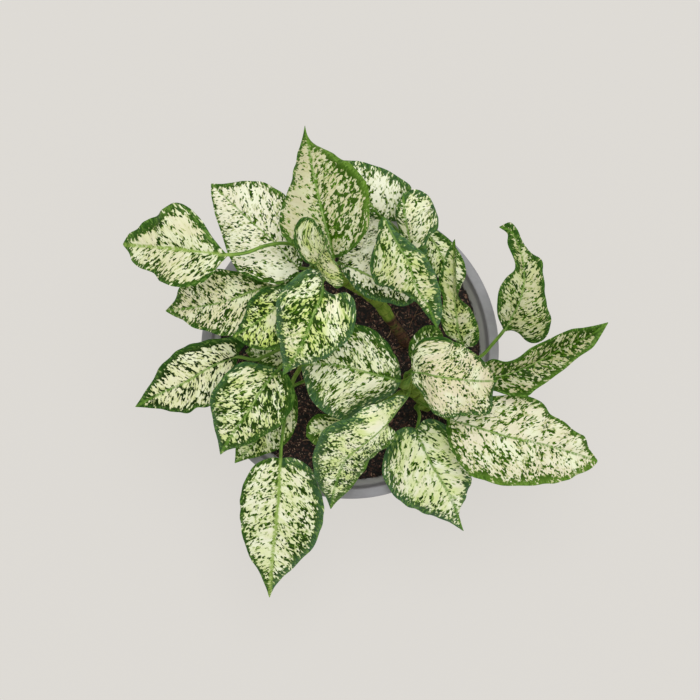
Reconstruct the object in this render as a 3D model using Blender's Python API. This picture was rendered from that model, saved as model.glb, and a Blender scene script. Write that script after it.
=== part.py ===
"""Potted Chinese evergreen: a round grey pot of soil, four canes and their patterned leaves.

Metres, +Z up. The origin is the middle of the pot's underside, which stands on z = 0. Each leaf is
one solid, its petiole and its blade. It is laid out as seen from straight above: where its midrib
and its two margins run, and how high they lie.
"""

import math

import bmesh
import bpy
import numpy as np
from mathutils import Vector, noise

# Sizes of the pot
RIM_RADIUS = 0.125
POT_HEIGHT = 0.210
LIP_WIDTH = 0.0084
COLLAR_HEIGHT = 0.026
COLLAR_STEP = 0.0055
FLOOR = 0.0060
TAPER = 0.19
EASE = 0.0012

# Sizes of what stands in it
SOIL_TOP = 0.180
SOIL_RELIEF = 0.0022
HOLE_DEPTH = 0.028
STEM_RADIUS = 0.0052
SCAR = 0.09
SCAR_TURNS = 8
PETIOLE_RADIUS = 0.0014
SHEATH_RADIUS = 0.0021
SHEATH_LEAN = 0.0008
BLADE_THICKNESS = 0.00085
NARROW = 0.010
RIB_DEPTH = 0.0016
CLEARANCE = 0.00032

# The view from above in which the leaves are laid out: 700 pixels wide, with the rim 149 across its radius
VIEW_HEIGHT = 1.710
VIEW_MIDDLE = 350.0
RIM_PIXELS = 149.0
PIXELS_PER_SLOPE = RIM_PIXELS * (VIEW_HEIGHT - POT_HEIGHT) / RIM_RADIUS
MM = 0.001

# Fineness of the solids
ROUND_SIDES = 56
SOIL_RINGS = (0.0, 0.25, 0.5, 0.75, 0.93, 1.0)
STEM_STEPS = 17
ALONG = (0.04, 0.10, 0.18, 0.28, 0.39, 0.50, 0.61, 0.72, 0.82, 0.91, 0.965)
ACROSS = (-1.0, -0.62, -0.26, 0.0, 0.26, 0.62, 1.0)
PETIOLE_STEPS = (0.0, 0.16, 0.36, 0.58, 0.8, 1.0)
CURVE_STEPS = 14
CROWN = 0.07

COLOURS = {
    "pot": ((0.36, 0.355, 0.37), 0.45),
    "soil": ((0.025, 0.014, 0.011), 0.95),
    "stem": ((0.10, 0.17, 0.035), 0.5),
    "leaf": ((0.42, 0.55, 0.28), 0.4),
}

# Each stem runs up through (across, down, height): pixels of the view from above, and millimetres.
STEMS = {
    "stem_left": ((405, 341, 206), (392, 322, 222), (378, 302, 238), (350, 283, 262), (330, 273, 284),
                  (323, 270, 302), (321.5, 269, 320)),
    "stem_back": ((421, 262, 198), (416, 256, 216), (406, 244, 240), (403, 241, 258),
                  (402.5, 240.5, 276)),
    "stem_right": ((426, 405, 196), (420, 398, 210), (410, 388, 228), (406, 385, 242), (405, 384.5, 260)),
    "stem_front": ((318, 372, 198), (313, 367, 212), (305, 359, 232), (303, 357.5, 253)),
}

# A joint is (height on the stem, compass direction in degrees from +X), or None on the stem's very top.
# The petiole passes the points of "via", and the midrib runs from the blade's base to its tip: those are
# (across, down, height) too. A margin's third number is how far it lies above the midrib, in millimetres.
# Left and right are as seen walking from base to tip.
LEAVES = {
    "leaf_01_far_left": dict(
        stem="stem_left",
        joint=(303, 112),
        via=((313, 259, 345), (304, 249, 364), (288, 243.5, 372), (265, 246, 379), (243, 254.5, 382)),
        midrib=((228, 255.5, 380), (203, 252, 379), (175, 249, 371), (122.7, 244.5, 346)),
        left=((224, 260, 0), (214, 272, 3), (205, 281, 1), (193, 286, 3), (179, 287, 5), (168, 284.5, 4),
              (160, 280, 0), (153, 273, 2), (146, 270, 4), (139, 268, 2), (132, 261.5, 1), (129, 253, 0)),
        right=((222, 249, 2), (214, 239, 4), (201, 220, 6), (190, 208.5, 1), (182, 204, 3), (174, 203, 5),
               (165, 207, 6), (158, 215.5, 2), (150, 219.5, 0), (143, 222.5, 3), (136, 229.5, 3),
               (130, 233, 1), (126, 238.5, 0)),
    ),
    "leaf_02_upper_left": dict(
        stem="stem_left",
        joint=(298, 155),
        via=((308, 269, 328),),
        midrib=((300.3, 268.7, 344), (288, 258, 351), (276.5, 244, 355), (253.6, 223.6, 352),
                (211, 183.5, 331)),
        left=((297, 274, 0), (288, 280, -1), (276, 284, -2), (263, 281, -3), (250, 276.5, -2),
              (238, 270.5, 1), (229.5, 257, 2), (224, 240, 0), (215, 212, 0), (211.5, 197, 0)),
        right=((302.5, 262, 0), (299, 248, 1), (293, 225, 1), (284, 195, 0), (276, 189, 2),
               (265, 182, -1), (249, 181.5, 2), (234, 181.5, 0), (223, 183.8, 1)),
    ),
    "leaf_03_top": dict(
        stem="stem_left",
        joint=(310, 45),
        via=((331, 263, 355),),
        midrib=((334, 258, 390), (330.5, 243, 398), (323.6, 218, 403), (315, 180, 396),
                (304.8, 125, 372)),
        left=((322, 254, -2), (302, 247, -4), (285, 240, -6), (280.5, 227, -8), (280.5, 210, -8),
              (286.5, 194.6, -6), (291, 182, -5), (297, 156, -3), (303, 135, 0)),
        right=((342, 256, 0), (351, 250, -1), (365, 233, -3), (370, 213, -5), (368.5, 192, -5),
               (361, 175, -4), (350, 164.5, -3), (336, 156, -1), (326.6, 149.5, 0), (317, 146, 0),
               (308, 136.5, 0)),
    ),
    "leaf_04_folded": dict(
        stem="stem_left",
        joint=None,
        via=((317, 268, 362),),
        midrib=((315, 266, 392), (319, 259, 402), (323, 251, 414), (326, 245, 425), (327.5, 240, 433)),
        left=((306, 262, 0), (299, 253, -1), (294, 240, -2), (295, 226, -4), (303, 217.5, -6),
              (311, 218, -5), (319, 226, -3), (325, 235, -1)),
        right=((319, 270, 0), (324, 277, 0), (330, 284.5, 1), (336, 289, 2), (342, 286, 3), (344, 278, 4),
               (339, 269, 4), (332, 259, 2), (328, 248, 0)),
    ),
    "leaf_05_top_right": dict(
        stem="stem_back",
        joint=(252, 125),
        via=((391, 236, 288),),
        midrib=((387, 221, 320), (380, 214.5, 328), (372, 206, 334), (356, 183, 338), (340, 160, 334)),
        left=((382, 221, 0), (373, 214, 0), (358, 202, 0), (345, 182, 0)),
        right=((397, 221, -1), (408, 211, -3), (413, 199, -4), (411, 187.5, -4), (403, 180, -3),
               (393, 174, -2), (384, 169, -1), (366, 163.4, 0), (352, 161, 0)),
    ),
    "leaf_06_upper_right": dict(
        stem="stem_back",
        joint=(260, -55),
        via=((408.5, 248, 292),),
        midrib=((413, 252, 318), (409, 236, 334), (405, 215, 346), (403, 193, 341)),
        left=((405, 247, -2), (399, 231, -3), (396, 218, -4), (397.3, 207, -3)),
        right=((421, 260, -2), (427, 255, -4), (426, 243, -4), (429.5, 234, -5), (437, 230, -10),
               (439, 220, -12), (433, 205, -10), (426, 194, -6), (418, 189.5, -3)),
    ),
    "leaf_07_right_of_middle": dict(
        stem="stem_back",
        joint=None,
        via=((396, 229, 318),),
        midrib=((383, 216, 350), (395, 240, 360), (408, 262, 360), (416, 286, 350), (430, 310, 337),
                (437, 328.5, 326)),
        left=((387, 219, 0), (396, 231.5, -2), (409, 242, -3), (421.6, 252, -4), (431.8, 266, -5),
              (438.5, 283, -5), (442, 303, -4), (440.5, 321, -1)),
        right=((379, 222, 0), (377.5, 234, -2), (372, 254, -4), (370.5, 271, -6), (374, 282, -6),
               (392, 289, -3), (413, 299, -2), (425, 312, -1)),
    ),
    "leaf_08_under_right": dict(
        stem="stem_left",
        joint=(288, 0),
        via=((335, 266, 316),),
        midrib=((338, 262, 334), (352, 268, 339), (375, 278, 328), (400, 288, 312), (424, 294, 300)),
        left=((341, 250, -2), (349, 235, -10), (360, 220, -20), (372, 212, -22), (380, 218, -20),
              (386, 234, -16), (396, 252, -12), (410, 270, -8), (420, 284, -3)),
        right=((341, 268, 0), (347, 278, -2), (359, 292, -5), (373.5, 300, -7), (388, 302.5, -7),
               (402, 306, -7), (414, 301, -4)),
    ),
    "leaf_09_right_upright": dict(
        stem="stem_right",
        joint=(244, 48),
        via=((424, 375, 262), (448, 358, 275)),
        midrib=((465, 347, 283), (459, 334, 291), (456.5, 315, 300), (454.5, 292, 306), (453.7, 265, 310),
                (455, 238.5, 310)),
        left=((456, 341, 0), (446, 334, -1), (441, 321, -2), (443, 302, 0), (438.8, 282, 2),
              (442, 266, 2), (449.6, 246.6, 1)),
        right=((474, 346, 0), (479, 340, 2), (479, 330, 3), (475.5, 319, 5), (469, 307, 8),
               (461, 299.6, 11), (456.5, 291, 15), (455.5, 272, 12), (456, 253, 4)),
    ),
    "leaf_10_over_rim": dict(
        stem="stem_back",
        joint=(243, 35),
        via=((414, 237, 266),),
        midrib=((423, 226, 284), (436, 246, 290), (448, 270, 286), (457.3, 295.5, 274)),
        left=((431, 227, 0), (440, 232.5, -1), (454, 244, -2), (463, 260, -3), (466, 272, -3),
              (461, 286, -1)),
        right=((420, 236, 0), (424, 252, -1), (434, 272, -2), (447, 288, -1)),
    ),
    "leaf_11_pale_arched": dict(
        stem="stem_right",
        joint=None,
        via=((410, 378, 286),),
        midrib=((412, 372, 308), (425.6, 373.5, 325), (441, 377, 334), (460, 379.6, 332), (479, 381, 320),
                (497, 381, 302)),
        left=((411.5, 365, -2), (412.6, 355, -5), (416, 344.5, -8), (426, 338, -12), (441, 338, -14),
              (453, 340.6, -14), (466, 348, -12), (485, 362, -5), (493, 373, -2)),
        right=((413, 384, -3), (419, 391, -6), (425, 398, -9), (429, 406, -12), (435, 414, -14),
               (445, 417.5, -16), (458, 417, -17), (472, 415, -16), (488, 412.5, -14), (492, 401, -8),
               (493.7, 388, -3)),
    ),
    "leaf_12_right_long": dict(
        stem="stem_right",
        joint=(224, -32),
        via=((427, 392, 248), (455, 384, 270)),
        midrib=((480, 378, 282), (500, 376, 288), (530, 365, 294), (565, 347, 298), (592, 334, 301),
                (608.8, 322, 304)),
        left=((482, 366, 4), (491, 359.5, 6), (505, 361, 8), (518, 357, 10), (531, 348, 12),
              (543, 341, 12), (557, 335.5, 11), (570, 329.6, 8), (584, 327.5, 4), (597, 325, 1)),
        right=((483, 387, 0), (496.5, 392, -2), (511, 395.5, -3), (528, 396, -3), (535, 390, -2),
               (548, 381.5, 0), (562, 371, 2), (580, 356, 3), (593, 347, 2), (598, 340, 1)),
    ),
    "leaf_13_right_twisted": dict(
        stem="stem_right",
        joint=(231, 8),
        via=((425, 380, 244), (455, 366, 256), (482.4, 355.4, 263), (493, 344, 268)),
        midrib=((504.4, 331.5, 272), (513, 315, 282), (519.7, 301, 289), (523.6, 285, 293),
                (523.6, 269, 293), (521, 255, 290), (516, 241, 285), (509, 230, 280), (498.7, 227, 275)),
        left=((501.5, 325, 1), (497.5, 314, 3), (497.3, 301, 5), (500, 287, 5), (507, 277, 6),
              (516, 267, 8), (512, 254, 6), (507.5, 243.5, 4), (507.5, 234, 1)),
        right=((512, 330.5, 0), (518, 333.5, -2), (524, 339.5, -4), (532, 342.5, -6), (541.7, 340, -8),
               (548.5, 333, -8), (550.8, 321, -8), (546.5, 303, -7), (545, 288, -5), (542.8, 274, -3),
               (541.7, 261, -2), (531, 253, 0), (522, 240.5, 0), (517, 229, 0), (511, 222.5, 0)),
    ),
    "leaf_14_large_lower_right": dict(
        stem="stem_right",
        joint=(212, -62),
        via=((431, 408, 244),),
        midrib=((447, 419.5, 266), (470, 425, 272), (487, 430.5, 272), (510, 437.4, 266), (533, 442, 257),
                (556, 448, 247), (598, 461, 228)),
        left=((450, 410, 0), (462, 402, -2), (476, 398, -2), (491, 396.5, -2), (510, 395, -2),
              (527.6, 396, -1), (542, 403, 2), (549, 413, 0), (562, 420, 3), (578, 433, 3),
              (585, 436.5, 4), (588, 446, 0)),
        right=((446.6, 431.7, -1), (450.7, 449, -3), (458.7, 462.7, -5), (470, 475, -7), (487, 481, -8),
               (503, 485, -8), (522, 485.6, -7), (539, 484, -6), (562, 482, -4), (580, 474, -3),
               (594, 466, -1)),
    ),
    "leaf_15_lower_right": dict(
        stem="stem_right",
        joint=(202, -115),
        via=((419.5, 416, 232),),
        midrib=((416.4, 428.6, 243), (419, 438, 246), (425, 451, 247), (432.5, 466, 243), (441, 480, 236),
                (455, 507, 222), (463.8, 531.3, 206)),
        left=((423.6, 420.5, 0), (432.5, 419, 0), (444, 424, -1), (457, 440, -2), (467, 460, -3),
              (471, 475, -4), (469, 488, -4), (464.6, 500, -3), (459, 514, -1)),
        right=((407, 427, 0), (396.8, 431, -2), (387, 446, -4), (382.5, 462, -6), (384, 479, -8),
               (391, 492, -9), (405.7, 504.5, -9), (423.6, 513.4, -7), (446, 520.5, -3)),
    ),
    "leaf_16_arched": dict(
        stem="stem_right",
        joint=(246, -75),
        via=((408, 394, 270),),
        midrib=((408, 397, 286), (396, 412, 305), (385, 426, 315), (368, 441, 313), (349, 456, 300),
                (337, 480, 270), (330.7, 509.4, 236)),
        left=((400, 408, -4), (388, 424, -8), (392, 430, -12), (396.5, 435, -14), (390, 443.5, -12),
              (375, 454.6, -8), (365.5, 468, -5), (355, 483.6, -3), (345, 494, -2), (335, 503.5, 0)),
        right=((402, 395, 2), (390, 398.5, 5), (379, 403, 8), (365, 407, 8), (350, 418, 5), (336, 422, 0),
               (325, 429, -5), (317.5, 441, -7), (313, 455, -8), (313.5, 469, -6), (319, 486, -3),
               (326, 497, -1)),
    ),
    "leaf_17_middle": dict(
        stem="stem_right",
        joint=(250, 170),
        via=((396.5, 386, 268),),
        midrib=((401, 381.5, 281), (385, 377, 296), (369, 373, 303), (344, 366.5, 305), (324, 364, 300),
                (301, 366, 290)),
        left=((397, 389, -2), (389.5, 396, -4), (373, 404, -8), (360.5, 409.5, -10), (347, 419.5, -12),
              (335, 418.6, -12), (322, 410.5, -10), (310, 397, -6), (305.5, 384, -3)),
        right=((400, 369, 0), (396, 358, -1), (390, 346, -3), (383, 338, -5), (373, 330, -7),
               (363, 325, -8), (350, 325, -8), (335, 333, -6), (318, 346, -3)),
    ),
    "leaf_18_heart": dict(
        stem="stem_left",
        joint=(306, -75),
        via=((326, 277, 348),),
        midrib=((322.5, 281, 376), (321, 297, 386), (312.5, 317, 391), (302.7, 343, 384),
                (283, 375, 357)),
        left=((325, 290, -1), (332, 294.5, -2), (345, 292.5, -2), (352.7, 299, -4), (356, 312, -6),
              (353.6, 329, -6), (344, 343, -5), (330, 354, -4), (314, 362, -2), (298, 366.5, -1)),
        right=((319, 271, -2), (310, 268.6, -3), (301, 273, -4), (291, 280, -5), (281, 292, -6),
               (275.5, 310, -8), (276, 327.5, -8), (280, 343, -5), (282.5, 360, -2)),
    ),
    "leaf_19_left": dict(
        stem="stem_left",
        joint=(282, 198),
        via=((309, 277, 304),),
        midrib=((297, 272, 318), (283, 279, 326), (269, 286, 330), (250.5, 292, 330), (233, 299, 327),
                (197, 307, 314), (165.3, 311, 300)),
        left=((292, 283, -1), (278, 304, -3), (258, 325, -5), (240, 335, -5), (224, 336, -4),
              (205, 331, -3), (194, 327, -2), (184, 320, 0), (174, 316, 0)),
        right=((288, 273, 0), (272, 277, -1), (255, 277, -2), (237, 271.6, -3), (219, 269, -3),
               (200, 273, -2), (188, 280, -2), (180, 288, -1), (175, 300, 0)),
    ),
    "leaf_20_yellow_green": dict(
        stem="stem_left",
        joint=(291, 240),
        via=((314, 281, 318),),
        midrib=((305, 284, 334), (290, 297, 343), (268, 314, 343), (250, 327, 334), (233, 336, 322)),
        left=((306, 292, 0), (300, 315, -3), (290, 334, -4), (279, 347, -4), (267, 350.5, -3),
              (256, 349, -2), (244, 343.5, -1)),
        right=((298, 283, 0), (288, 284, 0), (276, 286, -1), (265, 288, -2), (254, 295.5, -3),
               (245.5, 307, -3), (242.5, 321, -2)),
    ),
    "leaf_21_small_left": dict(
        stem="stem_front",
        joint=(226, 182),
        via=((296, 360.5, 238),),
        midrib=((291, 359, 246), (270, 357, 250), (245, 351, 246)),
        left=((288, 366, 0), (277, 368, -1), (262, 364, -1), (251, 358, 0)),
        right=((286, 350, 0), (271, 342.5, -1), (256, 342.5, -1)),
    ),
    "leaf_22_lower_left_long": dict(
        stem="stem_front",
        joint=(238, 140),
        via=((286, 347, 257), (270, 354, 263), (255, 360, 264)),
        midrib=((238, 355.5, 262), (221, 362, 267), (207, 369, 268), (186, 382, 264), (162.5, 392.5, 254),
                (135, 407, 240)),
        left=((236, 366, -1), (232, 382, -3), (222, 398, -5), (209, 406, -5), (197, 407.5, -4),
              (190, 412, -3), (172, 411, -3), (159, 408.6, -2), (146, 407.5, 0)),
        right=((242, 348, 4), (246.5, 342, 3), (239, 337.5, 0), (221, 339, -4), (200, 341.6, -5),
               (184, 346, -5), (168, 358.6, -4), (153.6, 378, -2), (144, 394, -1)),
    ),
    "leaf_23_lower_left_oval": dict(
        stem="stem_front",
        joint=None,
        via=((291, 358.5, 270),),
        midrib=((278, 369.5, 288), (265, 385, 298), (256, 398.6, 300), (247.5, 413, 296), (235, 430, 285),
                (220.3, 454.8, 266)),
        left=((287, 374, 0), (293, 385, -2), (295, 398.6, -4), (290, 412, -5), (284, 421.5, -6),
              (270, 432.5, -6), (256, 439.6, -5), (238.6, 447, -3), (226.5, 450.5, -1)),
        right=((268, 366, 0), (257, 364, -1), (246, 361.5, -2), (234, 366, -4), (222.5, 378, -5),
               (213.6, 391, -6), (210.4, 406, -6), (212.7, 421, -5), (217, 437, -3)),
    ),
    "leaf_24_lower_left_under": dict(
        stem="stem_front",
        joint=(208, -85),
        via=((308, 379, 226),),
        midrib=((292, 386, 243), (281, 405, 246), (264, 430, 241), (248, 450, 233), (234.6, 463.3, 225)),
        left=((296, 394, 0), (297.5, 412, -2), (295.7, 425, -3), (290, 438, -4), (279, 447.7, -4),
              (262, 455.5, -3), (247.5, 459, -1)),
        right=((283, 388, 0), (268, 397, -1), (250, 415, -2), (238, 437, -2)),
    ),
    "leaf_25_bottom": dict(
        stem="stem_front",
        joint=(234, -105),
        via=((299, 370, 252), (293, 381, 262), (287, 405, 264), (284, 424, 261), (281.4, 443, 256)),
        midrib=((280.6, 459, 250), (279.5, 475, 252), (279, 491, 248), (276, 522, 234), (273, 552, 216),
                (269.4, 598, 188)),
        left=((286, 457.5, 0), (300.5, 461, -1), (310.7, 468.6, -3), (317.5, 484, -4), (323, 500, -5),
              (324, 515.5, -5), (321, 530, -5), (313, 547, -4), (300.5, 560, -3), (286, 574, -2),
              (275, 586, 0)),
        right=((276, 457.5, 0), (268, 458.5, 0), (255.6, 464.5, -2), (246, 479, -4), (241, 493, -5),
               (240, 508, -5), (241.5, 532, -5), (248.5, 553, -4), (258, 571, -2), (265.5, 586, 0)),
    ),
    "leaf_26_small_bottom": dict(
        stem="stem_right",
        joint=(224, 215),
        via=((394, 396, 243),),
        midrib=((372, 408, 257), (350, 420, 261), (328, 429, 258), (306, 436, 250)),
        left=((365, 420, 0), (348, 438, -2), (330, 446, -3), (314, 444, -1)),
        right=((362, 404, 0), (345, 408, -1), (328, 413.5, -2), (316, 415, -2), (308, 424, -1)),
    ),
    "leaf_27_small_middle": dict(
        stem="stem_right",
        joint=(236, 92),
        via=((411, 371, 258),),
        midrib=((419, 364, 268), (424, 350, 279), (431, 336, 283), (438, 326, 281)),
        left=((411, 360, 0), (409, 346, -1), (415, 334, -1), (427, 325.5, 0)),
        right=((430, 362, 0), (441, 350, -1), (443, 337, -1)),
    ),
}


def clear_scene():
    for thing in list(bpy.data.objects):
        bpy.data.objects.remove(thing)


def material(name):
    """The plain finish of one kind of piece."""
    found = bpy.data.materials.get(name)
    if found:
        return found
    colour, roughness = COLOURS[name]
    made = bpy.data.materials.new(name)
    made.use_nodes = True
    shader = made.node_tree.nodes["Principled BSDF"]
    shader.inputs["Base Color"].default_value = (*colour, 1.0)
    shader.inputs["Roughness"].default_value = roughness
    return made


def add_object(name, data, finish):
    made = bpy.data.objects.new(name, data)
    bpy.context.scene.collection.objects.link(made)
    data.materials.append(material(finish))
    return made


def mesh_from(bm, name, sharp_degrees):
    bmesh.ops.recalc_face_normals(bm, faces=bm.faces)
    mesh = bpy.data.meshes.new(name)
    bm.to_mesh(mesh)
    bm.free()
    mesh.shade_smooth()
    mesh.set_sharp_from_angle(angle=math.radians(sharp_degrees))
    return mesh


def placed(points):
    """Metres for (across, down, height) points: pixels in the view from above, and millimetres."""
    points = np.atleast_2d(np.asarray(points, float))
    height = points[:, 2] * MM
    scale = (VIEW_HEIGHT - height) / PIXELS_PER_SLOPE
    x = (points[:, 0] - VIEW_MIDDLE) * scale
    y = (VIEW_MIDDLE - points[:, 1]) * scale
    return np.column_stack((x, y, height))


def smooth(points, fractions):
    """Points at these fractions of the length of a smooth curve through the given ones."""
    points = np.asarray(points, float)
    spans = np.diff(points, axis=0)
    lengths = np.linalg.norm(spans, axis=1)[:, None]
    slopes = spans / lengths
    tangents = np.vstack((slopes[:1], np.zeros((len(points) - 2, points.shape[1])), slopes[-1:]))
    if len(points) > 2:
        before, after = lengths[:-1], lengths[1:]
        tangents[1:-1] = (slopes[:-1] * after + slopes[1:] * before) / (before + after)
    run = [points[:1]]
    share = (np.arange(CURVE_STEPS)[:, None] + 1) / CURVE_STEPS
    for i, length in enumerate(lengths):
        ahead = share**2 * (3 - 2 * share)
        leave = share * (1 - share) ** 2 * length
        arrive = share**2 * (share - 1) * length
        run.append(
            points[i] * (1 - ahead) + points[i + 1] * ahead + tangents[i] * leave + tangents[i + 1] * arrive
        )
    run = np.vstack(run)
    walked = np.concatenate(([0.0], np.cumsum(np.linalg.norm(np.diff(run, axis=0), axis=1))))
    wanted = np.asarray(fractions) * walked[-1]
    return np.column_stack([np.interp(wanted, walked, column) for column in run.T])


def unit(vector):
    return vector / np.linalg.norm(vector)


def stem_path(name):
    """The points of a stem's axis, in metres: straight up out of its hole, then along its own lean."""
    points = placed(STEMS[name])
    foot = np.array((points[0, 0], points[0, 1], SOIL_TOP - HOLE_DEPTH + CLEARANCE))
    surface = np.array((points[0, 0], points[0, 1], SOIL_TOP + SOIL_RELIEF + CLEARANCE))
    return np.vstack((foot, surface, points))


def stem_tube(name):
    """The points of a stem's axis and its radius at each: swollen at the leaf scars, tapered at the top."""
    shares = np.linspace(0, 1, STEM_STEPS)
    radii = STEM_RADIUS * (1 + SCAR * np.cos(shares * SCAR_TURNS * 2 * math.pi)) * (1 - 0.35 * shares**6)
    return smooth(stem_path(name), shares), radii


def blade_surface(leaf, along, across):
    """The middle surface of a blade, in metres, as rows of points from its left margin to its right."""
    base, tip = leaf["midrib"][0], leaf["midrib"][-1]
    midrib = smooth(leaf["midrib"], along)
    margins = [
        smooth(((base[0], base[1], 0), *leaf[side], (tip[0], tip[1], 0)), along) for side in ("left", "right")
    ]
    columns = []
    for place in across:
        margin = margins[0] if place < 0 else margins[1]
        out = abs(place)
        flat = midrib[:, :2] * (1 - out) + margin[:, :2] * out
        width = np.linalg.norm(margin[:, :2] - midrib[:, :2], axis=1)
        height = midrib[:, 2] + margin[:, 2] * out + CROWN * width * 4 * out * (1 - out)
        columns.append(placed(np.column_stack((flat, height))))
    return np.stack(columns, axis=1)


def surface_normals(surface):
    """Unit normals of a grid of points, on the side from which its columns run left to right.

    Where the grid is narrow, near a leaf's tip, they turn to the normal on the midrib.
    """
    normals = np.cross(np.gradient(surface, axis=1), np.gradient(surface, axis=0))
    normals /= np.linalg.norm(normals, axis=2, keepdims=True)
    width = np.linalg.norm(surface[:, -1] - surface[:, 0], axis=1)[:, None, None]
    own = np.clip(width / NARROW - 0.4, 0, 1)
    middle = normals.shape[1] // 2
    normals = normals * own + normals[:, middle : middle + 1] * (1 - own)
    return normals / np.linalg.norm(normals, axis=2, keepdims=True)


def petiole_path(leaf, steps):
    """The petiole's axis from its stem to the blade's base, in metres, and the way in which it sets out."""
    axis, radii = stem_tube(leaf["stem"])
    if leaf["joint"] is None:
        climb = unit(axis[-1] - axis[-2])
        foot = axis[-1] + climb * 2 * CLEARANCE
        away = np.zeros(3)
    else:
        height, turn = leaf["joint"]
        place = np.interp(height * MM, axis[:, 2], np.arange(STEM_STEPS))
        below = min(int(place), STEM_STEPS - 2)
        share = place - below
        climb = unit(axis[below + 1] - axis[below])
        away = np.array((math.cos(math.radians(turn)), math.sin(math.radians(turn)), 0.0))
        away = unit(away - climb * (away @ climb))
        radius = radii[below] * (1 - share) + radii[below + 1] * share
        foot = axis[below] * (1 - share) + axis[below + 1] * share
        foot += away * (radius + CLEARANCE + SHEATH_RADIUS)
    top_of_sheath = foot + climb * 3 * SHEATH_RADIUS + away * SHEATH_LEAN
    targets = placed((*leaf["via"], leaf["midrib"][0]))
    return smooth(np.vstack((foot, top_of_sheath, targets)), steps), climb


def petiole_rings(leaf, side, heading):
    """Rings round the petiole, whose points answer those of the blade's sections."""
    path, climb = petiole_path(leaf, PETIOLE_STEPS)
    tangents = np.gradient(path, axis=0)
    tangents[0] = climb
    tangents[-1] = unit(path[-1] - path[-2]) + heading
    count = len(ACROSS)
    half = [math.pi * (1 - (k + 0.5) / count) for k in range(count)]
    angles = half + [-angle for angle in reversed(half)]
    rings = []
    for index in range(len(path) - 1, -1, -1):
        tangent = unit(tangents[index])
        side = unit(side - tangent * (side @ tangent))
        up = np.cross(side, tangent)
        share = PETIOLE_STEPS[index]
        radius = SHEATH_RADIUS + (PETIOLE_RADIUS - SHEATH_RADIUS) * share
        rings.append([path[index] + radius * (math.cos(a) * side + math.sin(a) * up) for a in angles])
    return rings[::-1]


def blade_rings(surface):
    """Closed sections of the blade: its upper face left to right, then its lower face back."""
    normals = surface_normals(surface)
    middle = ACROSS.index(0.0)
    rings = []
    for row, (points, upward) in enumerate(zip(surface, normals)):
        upper = points + upward * BLADE_THICKNESS / 2
        lower = points - upward * BLADE_THICKNESS / 2
        lower[middle] -= upward[middle] * RIB_DEPTH * (1 - ALONG[row])
        rings.append([*upper, *lower[::-1]])
    return rings


def leaf_mesh(name, leaf):
    """One closed solid: rings along the petiole and the blade, joined by triangles alike on both faces."""
    surface = blade_surface(leaf, ALONG, ACROSS)
    across_base = unit(surface[1, -1] - surface[1, 0])
    heading = unit(surface[1, ACROSS.index(0.0)] - placed(leaf["midrib"][0])[0])
    rings = petiole_rings(leaf, across_base, heading) + blade_rings(surface)
    bm = bmesh.new()
    corners = [[bm.verts.new(point) for point in ring] for ring in rings]
    count = len(ACROSS)
    around = 2 * count
    for near, far in zip(corners, corners[1:]):
        for i in range(around):
            after = (i + 1) % around
            above = i < count
            column = i if above else around - 2 - i
            if (column < count // 2) == above:
                bm.faces.new((near[i], near[after], far[after]))
                bm.faces.new((near[i], far[after], far[i]))
            else:
                bm.faces.new((near[i], near[after], far[i]))
                bm.faces.new((near[after], far[after], far[i]))
    bm.faces.new(corners[0])
    tip = bm.verts.new(placed(leaf["midrib"][-1])[0])
    for i in range(around):
        bm.faces.new((corners[-1][i], corners[-1][(i + 1) % around], tip))
    return mesh_from(bm, name, 50)


def add_leaves():
    for name, leaf in LEAVES.items():
        add_object(name, leaf_mesh(name, leaf), "leaf")


def add_stems():
    for name in STEMS:
        curve = bpy.data.curves.new(name, "CURVE")
        curve.dimensions = "3D"
        curve.bevel_depth = 1.0
        curve.bevel_resolution = 3
        curve.use_fill_caps = True
        spline = curve.splines.new("POLY")
        spline.points.add(STEM_STEPS - 1)
        for point, place, radius in zip(spline.points, *stem_tube(name)):
            point.co = (*place, 1.0)
            point.radius = radius
        spline.use_smooth = True
        add_object(name, curve, "stem")


def inner_radius(height):
    return RIM_RADIUS - LIP_WIDTH - (POT_HEIGHT - height) * TAPER


def add_pot():
    """The pot's profile, from the middle of its underside round its lip to the middle of its floor, spun."""
    under_collar = POT_HEIGHT - COLLAR_HEIGHT
    wall_top = RIM_RADIUS - COLLAR_STEP
    foot_radius = wall_top - under_collar * TAPER
    profile = (
        (foot_radius - EASE, 0.0),
        (foot_radius, EASE),
        (wall_top, under_collar),
        (RIM_RADIUS - EASE, under_collar + EASE),
        (RIM_RADIUS, under_collar + 3 * EASE),
        (RIM_RADIUS, POT_HEIGHT - EASE),
        (RIM_RADIUS - EASE, POT_HEIGHT),
        (inner_radius(POT_HEIGHT) + EASE, POT_HEIGHT),
        (inner_radius(POT_HEIGHT - EASE), POT_HEIGHT - EASE),
        (inner_radius(FLOOR), FLOOR),
    )
    bm = bmesh.new()
    rows = [ring_of(bm, radius, height) for radius, height in profile]
    join_rows(bm, rows)
    bm.faces.new(rows[0])
    bm.faces.new(rows[-1])
    add_object("pot", mesh_from(bm, "pot", 30), "pot")


def ring_of(bm, radius, height, relief=None):
    made = []
    for i in range(ROUND_SIDES):
        angle = 2 * math.pi * i / ROUND_SIDES
        x, y = radius * math.cos(angle), radius * math.sin(angle)
        made.append(bm.verts.new((x, y, height + (relief(x, y) if relief else 0.0))))
    return made


def join_rows(bm, rows):
    for low, high in zip(rows, rows[1:]):
        for i in range(ROUND_SIDES):
            after = (i + 1) % ROUND_SIDES
            bm.faces.new((low[i], low[after], high[after], high[i]))


def soil_relief(x, y):
    """Gentle lumps, which fade out towards the pot's wall."""
    fade = 1 - (math.hypot(x, y) / inner_radius(SOIL_TOP)) ** 4
    return SOIL_RELIEF * fade * noise.noise(Vector((x, y, 0)) * 45)


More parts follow.
